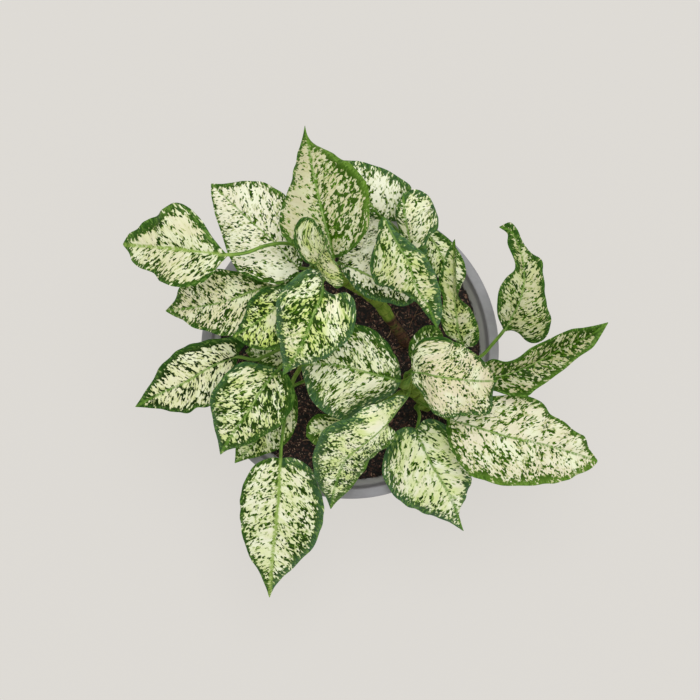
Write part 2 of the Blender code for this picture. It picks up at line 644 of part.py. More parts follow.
def add_soil():
    """A plug of soil with a plain hole for each stem."""
    bm = bmesh.new()
    side = CLEARANCE * 1.1
    floor = FLOOR + CLEARANCE
    rows = [ring_of(bm, inner_radius(floor) - side, floor)]
    top_radius = inner_radius(SOIL_TOP) - side
    for share in reversed(SOIL_RINGS[1:]):
        rows.append(ring_of(bm, top_radius * share, SOIL_TOP, soil_relief))
    join_rows(bm, rows)
    bm.faces.new(rows[0])
    middle = bm.verts.new((0, 0, SOIL_TOP + soil_relief(0, 0)))
    for i in range(ROUND_SIDES):
        bm.faces.new((rows[-1][i], rows[-1][(i + 1) % ROUND_SIDES], middle))
    soil = add_object("soil", mesh_from(bm, "soil", 40), "soil")
    for name in STEMS:
        foot = stem_path(name)[0]
        bpy.ops.mesh.primitive_cylinder_add(
            vertices=16,
            radius=STEM_RADIUS * (1 + SCAR) + 1.3 * CLEARANCE,
            depth=2 * HOLE_DEPTH,
            location=(foot[0], foot[1], SOIL_TOP),
        )
        cutter = bpy.context.active_object
        cutter.name = "hole_of_" + name
        cutter.hide_render = True
        cutter.display_type = "WIRE"
        cut = soil.modifiers.new(cutter.name, "BOOLEAN")
        cut.operation = "DIFFERENCE"
        cut.object = cutter


clear_scene()
add_pot()
add_soil()
add_stems()
add_leaves()
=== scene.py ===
import math
import random

import bpy
import numpy as np
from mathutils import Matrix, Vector, noise


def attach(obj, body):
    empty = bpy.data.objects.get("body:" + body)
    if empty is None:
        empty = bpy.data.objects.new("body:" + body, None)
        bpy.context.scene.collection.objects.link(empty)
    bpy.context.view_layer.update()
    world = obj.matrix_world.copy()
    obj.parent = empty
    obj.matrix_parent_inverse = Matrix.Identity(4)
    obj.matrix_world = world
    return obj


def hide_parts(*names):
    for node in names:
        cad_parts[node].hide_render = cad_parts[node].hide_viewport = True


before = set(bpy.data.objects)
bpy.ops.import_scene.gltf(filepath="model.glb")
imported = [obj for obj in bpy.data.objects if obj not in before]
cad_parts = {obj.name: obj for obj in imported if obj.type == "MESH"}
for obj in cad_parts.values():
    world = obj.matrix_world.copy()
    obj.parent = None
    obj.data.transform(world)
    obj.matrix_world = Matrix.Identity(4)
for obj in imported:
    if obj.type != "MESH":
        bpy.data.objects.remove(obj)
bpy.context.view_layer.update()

# Sizes of the pot
RIM_RADIUS = 0.125
POT_HEIGHT = 0.210
LIP_WIDTH = 0.0084
COLLAR_HEIGHT = 0.026
COLLAR_STEP = 0.0055
FLOOR = 0.0060
TAPER = 0.19
LIP_ROUND = 0.0014

# Sizes of what stands in it
SOIL_TOP = 0.180
SOIL_RELIEF = 0.0022
HOLE_DEPTH = 0.028
STEM_RADIUS = 0.0052
SCAR = 0.09
SCAR_TURNS = 8
TOP_TAPER = 0.35
PETIOLE_RADIUS = 0.0014
SHEATH_RADIUS = 0.0021
SHEATH_LEAN = 0.0008
BLADE_THICKNESS = 0.0008
NARROW = 0.010
CLEARANCE = 0.00032
CROWN = 0.07
STEM_STEPS = 17
CURVE_STEPS = 40

# The view from above in which the leaves are laid out: 700 pixels wide, with the rim 149 across its radius
VIEW_HEIGHT = 1.710
VIEW_MIDDLE = 350.0
VIEW_PIXELS = 700.0
RIM_PIXELS = 149.0
PIXELS_PER_SLOPE = RIM_PIXELS * (VIEW_HEIGHT - POT_HEIGHT) / RIM_RADIUS
MM = 0.001

# Fineness and relief of the leaves
BLADE_ROWS = 84
BLADE_COLUMNS = 37
BLADE_END = 0.006
MARGIN_THIN = 0.55
PETIOLE_ROWS = 44
TUBE_SIDES = 16
RIB_END = 0.93
RIB_TIP = 0.0003
RIB_PROUD = 0.0002
RIB_SINK = 0.0006
SHEATH_ROOT = 0.014
SHEATH_FLARE = 0.0022
RIB_SAMPLE = 0.0006
LOBE_REACH = 0.030
HEADING_SPAN = 6
JOINT_ROWS = 5
JOINT_ROUNDS = 30
BROAD = 0.018
LATERAL_SLANT = 0.55
LATERAL_CURVE = 7.0
LATERAL_SPACING = 7.5
PANEL_RELIEF = 0.0006
PANEL_START = 0.006
SWELL = 0.0018
SWELLS_ALONG = 45
SWELLS_ACROSS = 60
WAVE = 0.0006
WAVE_LENGTH = 0.021

# Fineness and relief of the canes, the pot and the soil
CANE_ROWS = 150
CANE_SIDES = 28
CANE_SWELL = 0.09
CANE_UNEVEN = 0.10
UNEVEN_PER_METRE = 160
SCAR_SPACING = 11.0
SCAR_WIDTH = 1.1
BROWN_FOOT = {"stem_left": 46.0}
LOW_FOOT = 10.0
FOOT_THIN = 0.12
RING_SPACING = 5.3
RING_RELIEF = 0.05
POT_SIDES = 200
POT_STEP = 0.004
POT_HUB = 0.0004
ROUND_STEPS = 6
SOIL_SIDES = 420
SOIL_RINGS = 118
SOIL_HUB = 0.0006
SOIL_SKIRT = 0.004
CLODS = 0.0030
CRUMBS = 0.0014
SOIL_GRAIN = 0.25 * MM
SWELLS_PER_METRE = 45
CLODS_PER_METRE = 165
CRUMBS_PER_METRE = 420
GRAINS_PER_METRE = 900
LITTER_SEED = 11
CHIPS = 520
ROOTS = 22
ROOT_STEPS = 9
SHORTEST_ROOT = 6
CHIP_MARGIN = 0.006
ROOT_MARGIN = 0.016
ROOT_START = 0.0006
ROOT_LIFT = 0.0005
ROOT_DROP = 0.0004
WALL_GAP = 0.002
ROOT_STEP = 0.0028
CHIP_SIZES = (0.0009, 0.0030)
ROOT_RADII = (0.00022, 0.00045)
CHIP_SIDES = 8
ROOT_SIDES = 6
SEED_STEP = 41.7
SHARP_DEGREES = 50

# Places in the UV maps: a leaf's blade and strand, and any other piece
BLADE_BOX = (0.01, 0.02, 0.99, 0.88)
STRAND_BOX = (0.01, 0.90, 0.99, 0.98)
WHOLE_BOX = (0.01, 0.02, 0.99, 0.98)
CAP_STRIP = 0.004

# Light, stage and finish
LAMP_PLACE = (0.10, 0.50, 2.6)
LAMP_SIZE = 1.1
LAMP_POWER = 20.0
LAMP_AIM = 0.2
ROOM_COLOUR = (0.985, 1.0, 0.935, 1.0)
ROOM_LIGHT = 0.71
SENSOR = 36.0
FLOOR_HALF = 25.0
FLOOR_TONES = ((107, 105, 102), (108, 106, 103))
FLOOR_GLOW = (202, 199, 195)
POT_GREYS = ((144, 142, 148), (158, 156, 163))
GLOSS = 0.10
FLECK_WIDTH = 1.15
FLECK_LENGTH = (1.05, 1.0)
PALE_RIB = (1.65, 1.75)
EVEN_GRAIN = (0.45, 1.0, 1.0)
EVEN_CREAM = (0.0, 0.0)

# Each stem runs up through (across, down, height): pixels of the view from above, and millimetres.
STEMS = {
    "stem_left": ((405, 341, 206), (392, 322, 222), (378, 302, 238), (350, 283, 262), (330, 273, 284),
        (323, 270, 302), (321.5, 269, 320)),
    "stem_back": ((421, 262, 198), (416, 256, 216), (406, 244, 240), (403, 241, 258), (402.5, 240.5, 276)),
    "stem_right": ((426, 405, 196), (420, 398, 210), (410, 388, 228), (406, 385, 242), (405, 384.5, 260)),
    "stem_front": ((318, 372, 198), (313, 367, 212), (305, 359, 232), (303, 357.5, 253)),
}

# A joint is (height on the stem, compass direction in degrees from +X), or None on the stem's very top.
# The petiole passes the points of "via", and the midrib runs from the blade's base to its tip: those are
# (across, down, height) too. A margin's third number is how far it lies above the midrib, in millimetres.
# Left and right are as seen walking from base to tip.
# "look" is the dark share, the tint from -1, pink, to 1, yellow green, the widths of the left and the right
# green margin in millimetres, and their tones, from -1, blue-grey, a painted sheen, over 0, dark, to 1,
# bright.
# "grain" is how streaky the flecks are, how large, and how wide the midrib's green is.
# "cream" is how much duller, under 0, or whiter the cream is, partly the leaf's own tone and partly painted
# light and shade, and how much darker the flecks are.
# In its "patches" a blade is marked more, over 0, or less: along from base to tip, across from the left
# margin at -1 to the right one at 1, how far each reaches both ways, and by how much.
LEAVES = {
    "leaf_01_far_left": dict(
        stem="stem_left", joint=(303, 112), look=(0.31, -0.1, 1.8, 3.4, 0.1, 0.1), grain=(0.9, 1.0, 1.8),
        cream=(-0.12, 0.0),
        patches=((0.5, 0.45, 0.18, 0.25, -0.22), (0.8, 0.2, 0.1, 0.25, -0.2), (0.75, 0.7, 0.2, 0.3, 0.2)),
        via=((313, 259, 345), (304, 249, 364), (288, 243.5, 372), (265, 246, 379), (243, 254.5, 382)),
        midrib=((228, 255.5, 380), (203, 252, 379), (175, 249, 371), (122.7, 244.5, 346)),
        left=((224, 260, 0), (214, 272, 3), (205, 281, 1), (193, 286, 3), (179, 287, 5), (168, 284.5, 4),
            (160, 280, 0), (153, 273, 2), (146, 270, 4), (139, 268, 2), (132, 261.5, 1), (129, 253, 0)),
        right=((222, 249, 2), (214, 239, 4), (201, 220, 6), (190, 208.5, 1), (182, 204, 3), (174, 203, 5),
            (165, 207, 6), (158, 215.5, 2), (150, 219.5, 0), (143, 222.5, 3), (136, 229.5, 3),
            (130, 233, 1), (126, 238.5, 0)),
    ),
    "leaf_02_upper_left": dict(
        stem="stem_left", joint=(298, 155), look=(0.24, -0.3, 1.0, 2.2, 0.1, 0.1), grain=(0.15, 1.05, 0.8),
        cream=(0.6, 0.0),
        patches=((0.15, -0.5, 0.2, 0.4, -0.05), (0.5, 0.5, 0.2, 0.15, 0.12),
            (0.42, -0.95, 0.13, 0.22, 0.12)),
        via=((308, 269, 328),),
        midrib=((300.3, 268.7, 344), (288, 258, 351), (276.5, 244, 355), (253.6, 223.6, 352),
            (211, 183.5, 331)),
        left=((297, 274, 0), (288, 280, -1), (276, 284, -2), (263, 281, -3), (250, 276.5, -2),
            (238, 270.5, 1), (229.5, 257, 2), (224, 240, 0), (215, 212, 0), (211.5, 197, 0)),
        right=((302.5, 262, 0), (299, 248, 1), (293, 225, 1), (284, 195, 0), (276, 189, 2), (265, 182, -1),
            (249, 181.5, 2), (234, 181.5, 0), (223, 183.8, 1)),
    ),
    "leaf_03_top": dict(
        stem="stem_left", joint=(310, 45), look=(0.42, -0.3, 1.8, 2.6, 0.1, 0.8), grain=(0.3, 1.15, 1.2),
        cream=(-0.42, -0.4),
        patches=((0.5, -0.5, 0.35, 0.45, -0.26), (0.3, 0.5, 0.2, 0.3, 0.12), (0.25, 0.0, 0.2, 0.1, 0.2),
            (0.66, 0.9, 0.12, 0.3, 0.55)),
        via=((331, 263, 355),),
        midrib=((334, 258, 390), (330.5, 243, 398), (323.6, 218, 403), (315, 180, 396), (304.8, 125, 372)),
        left=((322, 254, -2), (302, 247, -4), (285, 240, -6), (280.5, 227, -8), (280.5, 210, -8),
            (286.5, 194.6, -6), (291, 182, -5), (297, 156, -3), (303, 135, 0)),
        right=((342, 256, 0), (351, 250, -1), (365, 233, -3), (370, 213, -5), (368.5, 192, -5),
            (361, 175, -4), (350, 164.5, -3), (336, 156, -1), (326.6, 149.5, 0), (317, 146, 0),
            (308, 136.5, 0)),
    ),
    "leaf_04_folded": dict(
        stem="stem_left", joint=None, look=(0.42, 1.0, 1.3, 0.8, -0.1, 0.1), grain=(0.5, 0.8, 0.8),
        cream=(-0.3, 0.1),
        patches=((0.5, -0.4, 0.4, 0.3, -0.15), (0.4, 0.5, 0.4, 0.4, -0.15)),
        via=((317, 268, 362),),
        midrib=((315, 266, 392), (319, 259, 402), (323, 251, 414), (326, 245, 425), (327.5, 240, 433)),
        left=((306, 262, 0), (299, 253, -1), (294, 240, -2), (295, 226, -4), (303, 217.5, -6),
            (311, 218, -5), (319, 226, -3), (325, 235, -1)),
        right=((319, 270, 0), (324, 277, 0), (330, 284.5, 1), (336, 289, 2), (342, 286, 3), (344, 278, 4),
            (339, 269, 4), (332, 259, 2), (328, 248, 0)),
    ),
    "leaf_05_top_right": dict(
        stem="stem_back", joint=(252, 125), look=(0.33, 0.1, 2.0, 3.0, 0.1, -0.4), cream=(0.7, -0.3),
        via=((391, 236, 288),),
        midrib=((387, 221, 320), (380, 214.5, 328), (372, 206, 334), (356, 183, 338), (340, 160, 334)),
        left=((382, 221, 0), (373, 214, 0), (358, 202, 0), (345, 182, 0)),
        right=((397, 221, -1), (408, 211, -3), (413, 199, -4), (411, 187.5, -4), (403, 180, -3),
            (393, 174, -2), (384, 169, -1), (366, 163.4, 0), (352, 161, 0)),
    ),
    "leaf_06_upper_right": dict(
        stem="stem_back", joint=(260, -55), look=(0.28, 0.1, 1.6, 2.8, -0.2, -0.5), cream=(0.2, -0.2),
        via=((408.5, 248, 292),),
        midrib=((413, 252, 318), (409, 236, 334), (405, 215, 346), (403, 193, 341)),
        left=((405, 247, -2), (399, 231, -3), (396, 218, -4), (397.3, 207, -3)),
        right=((421, 260, -2), (427, 255, -4), (426, 243, -4), (429.5, 234, -5), (437, 230, -10),
            (439, 220, -12), (433, 205, -10), (426, 194, -6), (418, 189.5, -3)),
    ),
    "leaf_07_right_of_middle": dict(
        stem="stem_back", joint=None, look=(0.4, 0.65, 3.6, 2.0, -0.8, -0.4), grain=(0.4, 1.15, 1.0),
        cream=(-0.18, -0.2),
        patches=((0.45, 0.3, 0.2, 0.3, -0.12), (0.5, -0.5, 0.2, 0.3, -0.1)),
        via=((396, 229, 318),),
        midrib=((383, 216, 350), (395, 240, 360), (408, 262, 360), (416, 286, 350), (430, 310, 337),
            (437, 328.5, 326)),
        left=((387, 219, 0), (396, 231.5, -2), (409, 242, -3), (421.6, 252, -4), (431.8, 266, -5),
            (438.5, 283, -5), (442, 303, -4), (440.5, 321, -1)),
        right=((379, 222, 0), (377.5, 234, -2), (372, 254, -4), (370.5, 271, -6), (374, 282, -6),
            (392, 289, -3), (413, 299, -2), (425, 312, -1)),
    ),
    "leaf_08_under_right": dict(
        stem="stem_left", joint=(288, 0), look=(0.32, -0.1, 1.8, 2.0, 0.0, -0.5), cream=(0.6, 0.2),
        patches=((0.25, 0.1, 0.2, 0.5, -0.2), (0.6, 0.8, 0.35, 0.35, 0.28)),
        via=((335, 266, 316),),
        midrib=((338, 262, 334), (352, 268, 339), (375, 278, 328), (400, 288, 312), (424, 294, 300)),
        left=((341, 250, -2), (349, 235, -10), (360, 220, -20), (372, 212, -22), (380, 218, -20),
            (386, 234, -16), (396, 252, -12), (410, 270, -8), (420, 284, -3)),
        right=((341, 268, 0), (347, 278, -2), (359, 292, -5), (373.5, 300, -7), (388, 302.5, -7),
            (402, 306, -7), (414, 301, -4)),
    ),
    "leaf_09_right_upright": dict(
        stem="stem_right", joint=(244, 48), look=(0.26, 0.85, 1.2, 2.0, 0.1, 0.0), cream=(-0.28, 0.1),
        via=((424, 375, 262), (448, 358, 275)),
        midrib=((465, 347, 283), (459, 334, 291), (456.5, 315, 300), (454.5, 292, 306), (453.7, 265, 310),
            (455, 238.5, 310)),
        left=((456, 341, 0), (446, 334, -1), (441, 321, -2), (443, 302, 0), (438.8, 282, 2), (442, 266, 2),
            (449.6, 246.6, 1)),
        right=((474, 346, 0), (479, 340, 2), (479, 330, 3), (475.5, 319, 5), (469, 307, 8),
            (461, 299.6, 11), (456.5, 291, 15), (455.5, 272, 12), (456, 253, 4)),
    ),
    "leaf_10_over_rim": dict(
        stem="stem_back", joint=(243, 35), look=(0.3, 0.8, 2.0, 2.0, 0.0, 0.2), cream=(0.2, 0.0),
        via=((414, 237, 266),),
        midrib=((423, 226, 284), (436, 246, 290), (448, 270, 286), (457.3, 295.5, 274)),
        left=((431, 227, 0), (440, 232.5, -1), (454, 244, -2), (463, 260, -3), (466, 272, -3),
            (461, 286, -1)),
        right=((420, 236, 0), (424, 252, -1), (434, 272, -2), (447, 288, -1)),
    ),
    "leaf_11_pale_arched": dict(
        stem="stem_right", joint=None, look=(0.28, -0.5, 2.0, 2.6, -0.1, -0.3), grain=(0.2, 0.95, 1.0),
        cream=(-0.05, 0.0),
        patches=((0.85, 0.0, 0.12, 0.35, -0.35), (0.9, 0.8, 0.12, 0.25, 0.45),
            (0.35, 0.6, 0.2, 0.3, -0.1)),
        via=((410, 378, 286),),
        midrib=((412, 372, 308), (425.6, 373.5, 325), (441, 377, 334), (460, 379.6, 332), (479, 381, 320),
            (497, 381, 302)),
        left=((411.5, 365, -2), (412.6, 355, -5), (416, 344.5, -8), (426, 338, -12), (441, 338, -14),
            (453, 340.6, -14), (466, 348, -12), (485, 362, -5), (493, 373, -2)),
        right=((413, 384, -3), (419, 391, -6), (425, 398, -9), (429, 406, -12), (435, 414, -14),
            (445, 417.5, -16), (458, 417, -17), (472, 415, -16), (488, 412.5, -14), (492, 401, -8),
            (493.7, 388, -3)),
    ),
    "leaf_12_right_long": dict(
        stem="stem_right", joint=(224, -32), look=(0.57, -0.3, 0.6, 1.4, 0.3, 0.6), grain=(0.35, 1.15, 1.0),
        cream=(-0.56, -0.1),
        patches=((0.92, 0.0, 0.12, 1.0, 0.15),),
        via=((427, 392, 248), (455, 384, 270)),
        midrib=((480, 378, 282), (500, 376, 288), (530, 365, 294), (565, 347, 298), (592, 334, 301),
            (608.8, 322, 304)),
        left=((482, 366, 4), (491, 359.5, 6), (505, 361, 8), (518, 357, 10), (531, 348, 12),
            (543, 341, 12), (557, 335.5, 11), (570, 329.6, 8), (584, 327.5, 4), (597, 325, 1)),
        right=((483, 387, 0), (496.5, 392, -2), (511, 395.5, -3), (528, 396, -3), (535, 390, -2),
            (548, 381.5, 0), (562, 371, 2), (580, 356, 3), (593, 347, 2), (598, 340, 1)),
    ),
    "leaf_13_right_twisted": dict(
        stem="stem_right", joint=(231, 8), look=(0.38, 0.4, 2.0, 1.8, 0.0, 0.0), cream=(-0.46, 0.0),
        via=((425, 380, 244), (455, 366, 256), (482.4, 355.4, 263), (493, 344, 268)),
        midrib=((504.4, 331.5, 272), (513, 315, 282), (519.7, 301, 289), (523.6, 285, 293),
            (523.6, 269, 293), (521, 255, 290), (516, 241, 285), (509, 230, 280), (498.7, 227, 275)),
        left=((501.5, 325, 1), (497.5, 314, 3), (497.3, 301, 5), (500, 287, 5), (507, 277, 6),
            (516, 267, 8), (512, 254, 6), (507.5, 243.5, 4), (507.5, 234, 1)),
        right=((512, 330.5, 0), (518, 333.5, -2), (524, 339.5, -4), (532, 342.5, -6), (541.7, 340, -8),
            (548.5, 333, -8), (550.8, 321, -8), (546.5, 303, -7), (545, 288, -5), (542.8, 274, -3),
            (541.7, 261, -2), (531, 253, 0), (522, 240.5, 0), (517, 229, 0), (511, 222.5, 0)),
    ),
    "leaf_14_large_lower_right": dict(
        stem="stem_right", joint=(212, -62), look=(0.3, -0.4, 1.8, 3.4, 0.3, 0.9), grain=(0.15, 1.3, 1.2),
        cream=(0.25, -0.45),
        patches=((0.85, 0.1, 0.1, 0.35, -0.3), (0.15, 0.55, 0.1, 0.3, 0.05), (0.5, 0.8, 0.3, 0.2, 0.1)),
        via=((431, 408, 244),),
        midrib=((447, 419.5, 266), (470, 425, 272), (487, 430.5, 272), (510, 437.4, 266), (533, 442, 257),
            (556, 448, 247), (598, 461, 228)),
        left=((450, 410, 0), (462, 402, -2), (476, 398, -2), (491, 396.5, -2), (510, 395, -2),
            (527.6, 396, -1), (542, 403, 2), (549, 413, 0), (562, 420, 3), (578, 433, 3), (585, 436.5, 4),
            (588, 446, 0)),
        right=((446.6, 431.7, -1), (450.7, 449, -3), (458.7, 462.7, -5), (470, 475, -7), (487, 481, -8),
            (503, 485, -8), (522, 485.6, -7), (539, 484, -6), (562, 482, -4), (580, 474, -3),
            (594, 466, -1)),
    ),
    "leaf_15_lower_right": dict(
        stem="stem_right", joint=(202, -115), look=(0.2, 1.1, 4.0, 5.0, -0.6, -0.6), grain=(0.3, 1.3, 1.4),
        cream=(0.4, 0.0),
        patches=((0.8, -0.3, 0.15, 0.3, -0.15), (0.15, 0.0, 0.2, 0.2, 0.1), (0.72, 0.95, 0.25, 0.25, 0.3)),
        via=((419.5, 416, 232),),
        midrib=((416.4, 428.6, 243), (419, 438, 246), (425, 451, 247), (432.5, 466, 243), (441, 480, 236),
            (455, 507, 222), (463.8, 531.3, 206)),
        left=((423.6, 420.5, 0), (432.5, 419, 0), (444, 424, -1), (457, 440, -2), (467, 460, -3),
            (471, 475, -4), (469, 488, -4), (464.6, 500, -3), (459, 514, -1)),
        right=((407, 427, 0), (396.8, 431, -2), (387, 446, -4), (382.5, 462, -6), (384, 479, -8),
            (391, 492, -9), (405.7, 504.5, -9), (423.6, 513.4, -7), (446, 520.5, -3)),
    ),
    "leaf_16_arched": dict(
        stem="stem_right", joint=(246, -75), look=(0.34, 1.0, 2.2, 4.6, 0.4, -0.6), grain=(0.2, 1.0, 1.0),
        cream=(0.3, 0.1),
        patches=((0.2, 0.5, 0.18, 0.9, -0.36), (0.6, -0.6, 0.3, 0.4, 0.15), (0.62, 1.0, 0.25, 0.3, 0.25)),
        via=((408, 394, 270),),
        midrib=((408, 397, 286), (396, 412, 305), (385, 426, 315), (368, 441, 313), (349, 456, 300),
            (337, 480, 270), (330.7, 509.4, 236)),
        left=((400, 408, -4), (388, 424, -8), (392, 430, -12), (396.5, 435, -14), (390, 443.5, -12),
            (375, 454.6, -8), (365.5, 468, -5), (355, 483.6, -3), (345, 494, -2), (335, 503.5, 0)),
        right=((402, 395, 2), (390, 398.5, 5), (379, 403, 8), (365, 407, 8), (350, 418, 5), (336, 422, 0),
            (325, 429, -5), (317.5, 441, -7), (313, 455, -8), (313.5, 469, -6), (319, 486, -3),
            (326, 497, -1)),
    ),
    "leaf_17_middle": dict(
        stem="stem_right", joint=(250, 170), look=(0.43, 0.35, 4.2, 3.4, -0.7, -0.1), grain=(0.5, 1.2, 1.3),
        cream=(0.3, -0.3),
        patches=((0.4, -0.3, 0.2, 0.3, -0.1), (0.85, 0.0, 0.1, 0.5, -0.1)),
        via=((396.5, 386, 268),),
        midrib=((401, 381.5, 281), (385, 377, 296), (369, 373, 303), (344, 366.5, 305), (324, 364, 300),
            (301, 366, 290)),
        left=((397, 389, -2), (389.5, 396, -4), (373, 404, -8), (360.5, 409.5, -10), (347, 419.5, -12),
            (335, 418.6, -12), (322, 410.5, -10), (310, 397, -6), (305.5, 384, -3)),
        right=((400, 369, 0), (396, 358, -1), (390, 346, -3), (383, 338, -5), (373, 330, -7),
            (363, 325, -8), (350, 325, -8), (335, 333, -6), (318, 346, -3)),
    ),
    "leaf_18_heart": dict(
        stem="stem_left", joint=(306, -75), look=(0.42, 0.9, 3.2, 3.6, -0.6, -0.8), grain=(0.1, 1.15, 1.6),
        patches=((0.75, 0.1, 0.15, 0.3, -0.2), (0.3, 0.5, 0.2, 0.3, 0.12)),
        via=((326, 277, 348),),
        midrib=((322.5, 281, 376), (321, 297, 386), (312.5, 317, 391), (302.7, 343, 384), (283, 375, 357)),
        left=((325, 290, -1), (332, 294.5, -2), (345, 292.5, -2), (352.7, 299, -4), (356, 312, -6),
            (353.6, 329, -6), (344, 343, -5), (330, 354, -4), (314, 362, -2), (298, 366.5, -1)),
        right=((319, 271, -2), (310, 268.6, -3), (301, 273, -4), (291, 280, -5), (281, 292, -6),
            (275.5, 310, -8), (276, 327.5, -8), (280, 343, -5), (282.5, 360, -2)),
    ),
    "leaf_19_left": dict(
        stem="stem_left", joint=(282, 198), look=(0.4, -0.2, 1.6, 2.2, 0.0, 0.1), grain=(0.7, 0.88, 1.2),
        cream=(-0.08, 0.1),
        patches=((0.5, 0.3, 0.12, 0.3, -0.15), (0.4, -0.4, 0.2, 0.3, -0.08)),
        via=((309, 277, 304),),
        midrib=((297, 272, 318), (283, 279, 326), (269, 286, 330), (250.5, 292, 330), (233, 299, 327),
            (197, 307, 314), (165.3, 311, 300)),
        left=((292, 283, -1), (278, 304, -3), (258, 325, -5), (240, 335, -5), (224, 336, -4),
            (205, 331, -3), (194, 327, -2), (184, 320, 0), (174, 316, 0)),
        right=((288, 273, 0), (272, 277, -1), (255, 277, -2), (237, 271.6, -3), (219, 269, -3),
            (200, 273, -2), (188, 280, -2), (180, 288, -1), (175, 300, 0)),
    ),
    "leaf_20_yellow_green": dict(
        stem="stem_left", joint=(291, 240), look=(0.46, 1.6, 1.2, 2.0, 0.2, -0.2), grain=(0.2, 1.2, 1.0),
        cream=(0.1, 0.4),
        patches=((0.5, -0.1, 0.25, 0.35, -0.12),),
        via=((314, 281, 318),),
        midrib=((305, 284, 334), (290, 297, 343), (268, 314, 343), (250, 327, 334), (233, 336, 322)),
        left=((306, 292, 0), (300, 315, -3), (290, 334, -4), (279, 347, -4), (267, 350.5, -3),
            (256, 349, -2), (244, 343.5, -1)),
        right=((298, 283, 0), (288, 284, 0), (276, 286, -1), (265, 288, -2), (254, 295.5, -3),
            (245.5, 307, -3), (242.5, 321, -2)),
    ),
    "leaf_21_small_left": dict(
        stem="stem_front", joint=(226, 182), look=(0.3, 0.4, 1.2, 1.2, 0.2, 0.1),
        via=((296, 360.5, 238),),
        midrib=((291, 359, 246), (270, 357, 250), (245, 351, 246)),
        left=((288, 366, 0), (277, 368, -1), (262, 364, -1), (251, 358, 0)),
        right=((286, 350, 0), (271, 342.5, -1), (256, 342.5, -1)),
    ),
    "leaf_22_lower_left_long": dict(
        stem="stem_front", joint=(238, 140), look=(0.42, 0.1, 1.6, 2.8, 0.0, 0.0), grain=(0.8, 1.1, 1.2),
        cream=(0.0, 0.8),
        patches=((0.45, 0.15, 0.3, 0.35, -0.2), (0.5, 0.85, 0.4, 0.2, 0.2), (0.15, -0.4, 0.2, 0.4, -0.2)),
        via=((286, 347, 257), (270, 354, 263), (255, 360, 264)),
        midrib=((238, 355.5, 262), (221, 362, 267), (207, 369, 268), (186, 382, 264), (162.5, 392.5, 254),
            (135, 407, 240)),
        left=((236, 366, -1), (232, 382, -3), (222, 398, -5), (209, 406, -5), (197, 407.5, -4),
            (190, 412, -3), (172, 411, -3), (159, 408.6, -2), (146, 407.5, 0)),
        right=((242, 348, 4), (246.5, 342, 3), (239, 337.5, 0), (221, 339, -4), (200, 341.6, -5),
            (184, 346, -5), (168, 358.6, -4), (153.6, 378, -2), (144, 394, -1)),
    ),
    "leaf_23_lower_left_oval": dict(
        stem="stem_front", joint=None, look=(0.48, 0.7, 2.8, 2.6, 0.1, -0.5), grain=(0.3, 1.25, 1.4),
        cream=(0.05, 0.1),
        patches=((0.25, 0.5, 0.2, 0.35, -0.1), (0.75, 0.1, 0.12, 0.3, -0.15)),
        via=((291, 358.5, 270),),
        midrib=((278, 369.5, 288), (265, 385, 298), (256, 398.6, 300), (247.5, 413, 296), (235, 430, 285),
            (220.3, 454.8, 266)),
        left=((287, 374, 0), (293, 385, -2), (295, 398.6, -4), (290, 412, -5), (284, 421.5, -6),
            (270, 432.5, -6), (256, 439.6, -5), (238.6, 447, -3), (226.5, 450.5, -1)),
        right=((268, 366, 0), (257, 364, -1), (246, 361.5, -2), (234, 366, -4), (222.5, 378, -5),
            (213.6, 391, -6), (210.4, 406, -6), (212.7, 421, -5), (217, 437, -3)),
    ),
    "leaf_24_lower_left_under": dict(
        stem="stem_front", joint=(208, -85), look=(0.36, 0.7, 1.4, 1.4, 0.3, 0.3),
        via=((308, 379, 226),),
        midrib=((292, 386, 243), (281, 405, 246), (264, 430, 241), (248, 450, 233), (234.6, 463.3, 225)),
        left=((296, 394, 0), (297.5, 412, -2), (295.7, 425, -3), (290, 438, -4), (279, 447.7, -4),
            (262, 455.5, -3), (247.5, 459, -1)),
        right=((283, 388, 0), (268, 397, -1), (250, 415, -2), (238, 437, -2)),
    ),
    "leaf_25_bottom": dict(
        stem="stem_front", joint=(234, -105), look=(0.34, 0.6, 3.6, 1.6, -0.7, 0.0),
        grain=(0.35, 1.25, 1.8), cream=(0.3, 0.0),
        patches=((0.62, 0.2, 0.2, 0.35, -0.2), (0.55, -0.7, 0.2, 0.25, 0.2),
            (0.35, -0.35, 0.12, 0.25, -0.15)),
        via=((299, 370, 252), (293, 381, 262), (287, 405, 264), (284, 424, 261), (281.4, 443, 256)),
        midrib=((280.6, 459, 250), (279.5, 475, 252), (279, 491, 248), (276, 522, 234), (273, 552, 216),
            (269.4, 598, 188)),
        left=((286, 457.5, 0), (300.5, 461, -1), (310.7, 468.6, -3), (317.5, 484, -4), (323, 500, -5),
            (324, 515.5, -5), (321, 530, -5), (313, 547, -4), (300.5, 560, -3), (286, 574, -2),
            (275, 586, 0)),
        right=((276, 457.5, 0), (268, 458.5, 0), (255.6, 464.5, -2), (246, 479, -4), (241, 493, -5),
            (240, 508, -5), (241.5, 532, -5), (248.5, 553, -4), (258, 571, -2), (265.5, 586, 0)),
    ),
    "leaf_26_small_bottom": dict(
        stem="stem_right", joint=(224, 215), look=(0.42, 0.6, 3.0, 1.6, 0.4, 0.3),
        via=((394, 396, 243),),
        midrib=((372, 408, 257), (350, 420, 261), (328, 429, 258), (306, 436, 250)),
        left=((365, 420, 0), (348, 438, -2), (330, 446, -3), (314, 444, -1)),
        right=((362, 404, 0), (345, 408, -1), (328, 413.5, -2), (316, 415, -2), (308, 424, -1)),
    ),
    "leaf_27_small_middle": dict(
        stem="stem_right", joint=(236, 92), look=(0.44, 0.6, 2.2, 2.2, 0.1, 0.2),
        via=((411, 371, 258),),
        midrib=((419, 364, 268), (424, 350, 279), (431, 336, 283), (438, 326, 281)),
        left=((411, 360, 0), (409, 346, -1), (415, 334, -1), (427, 325.5, 0)),
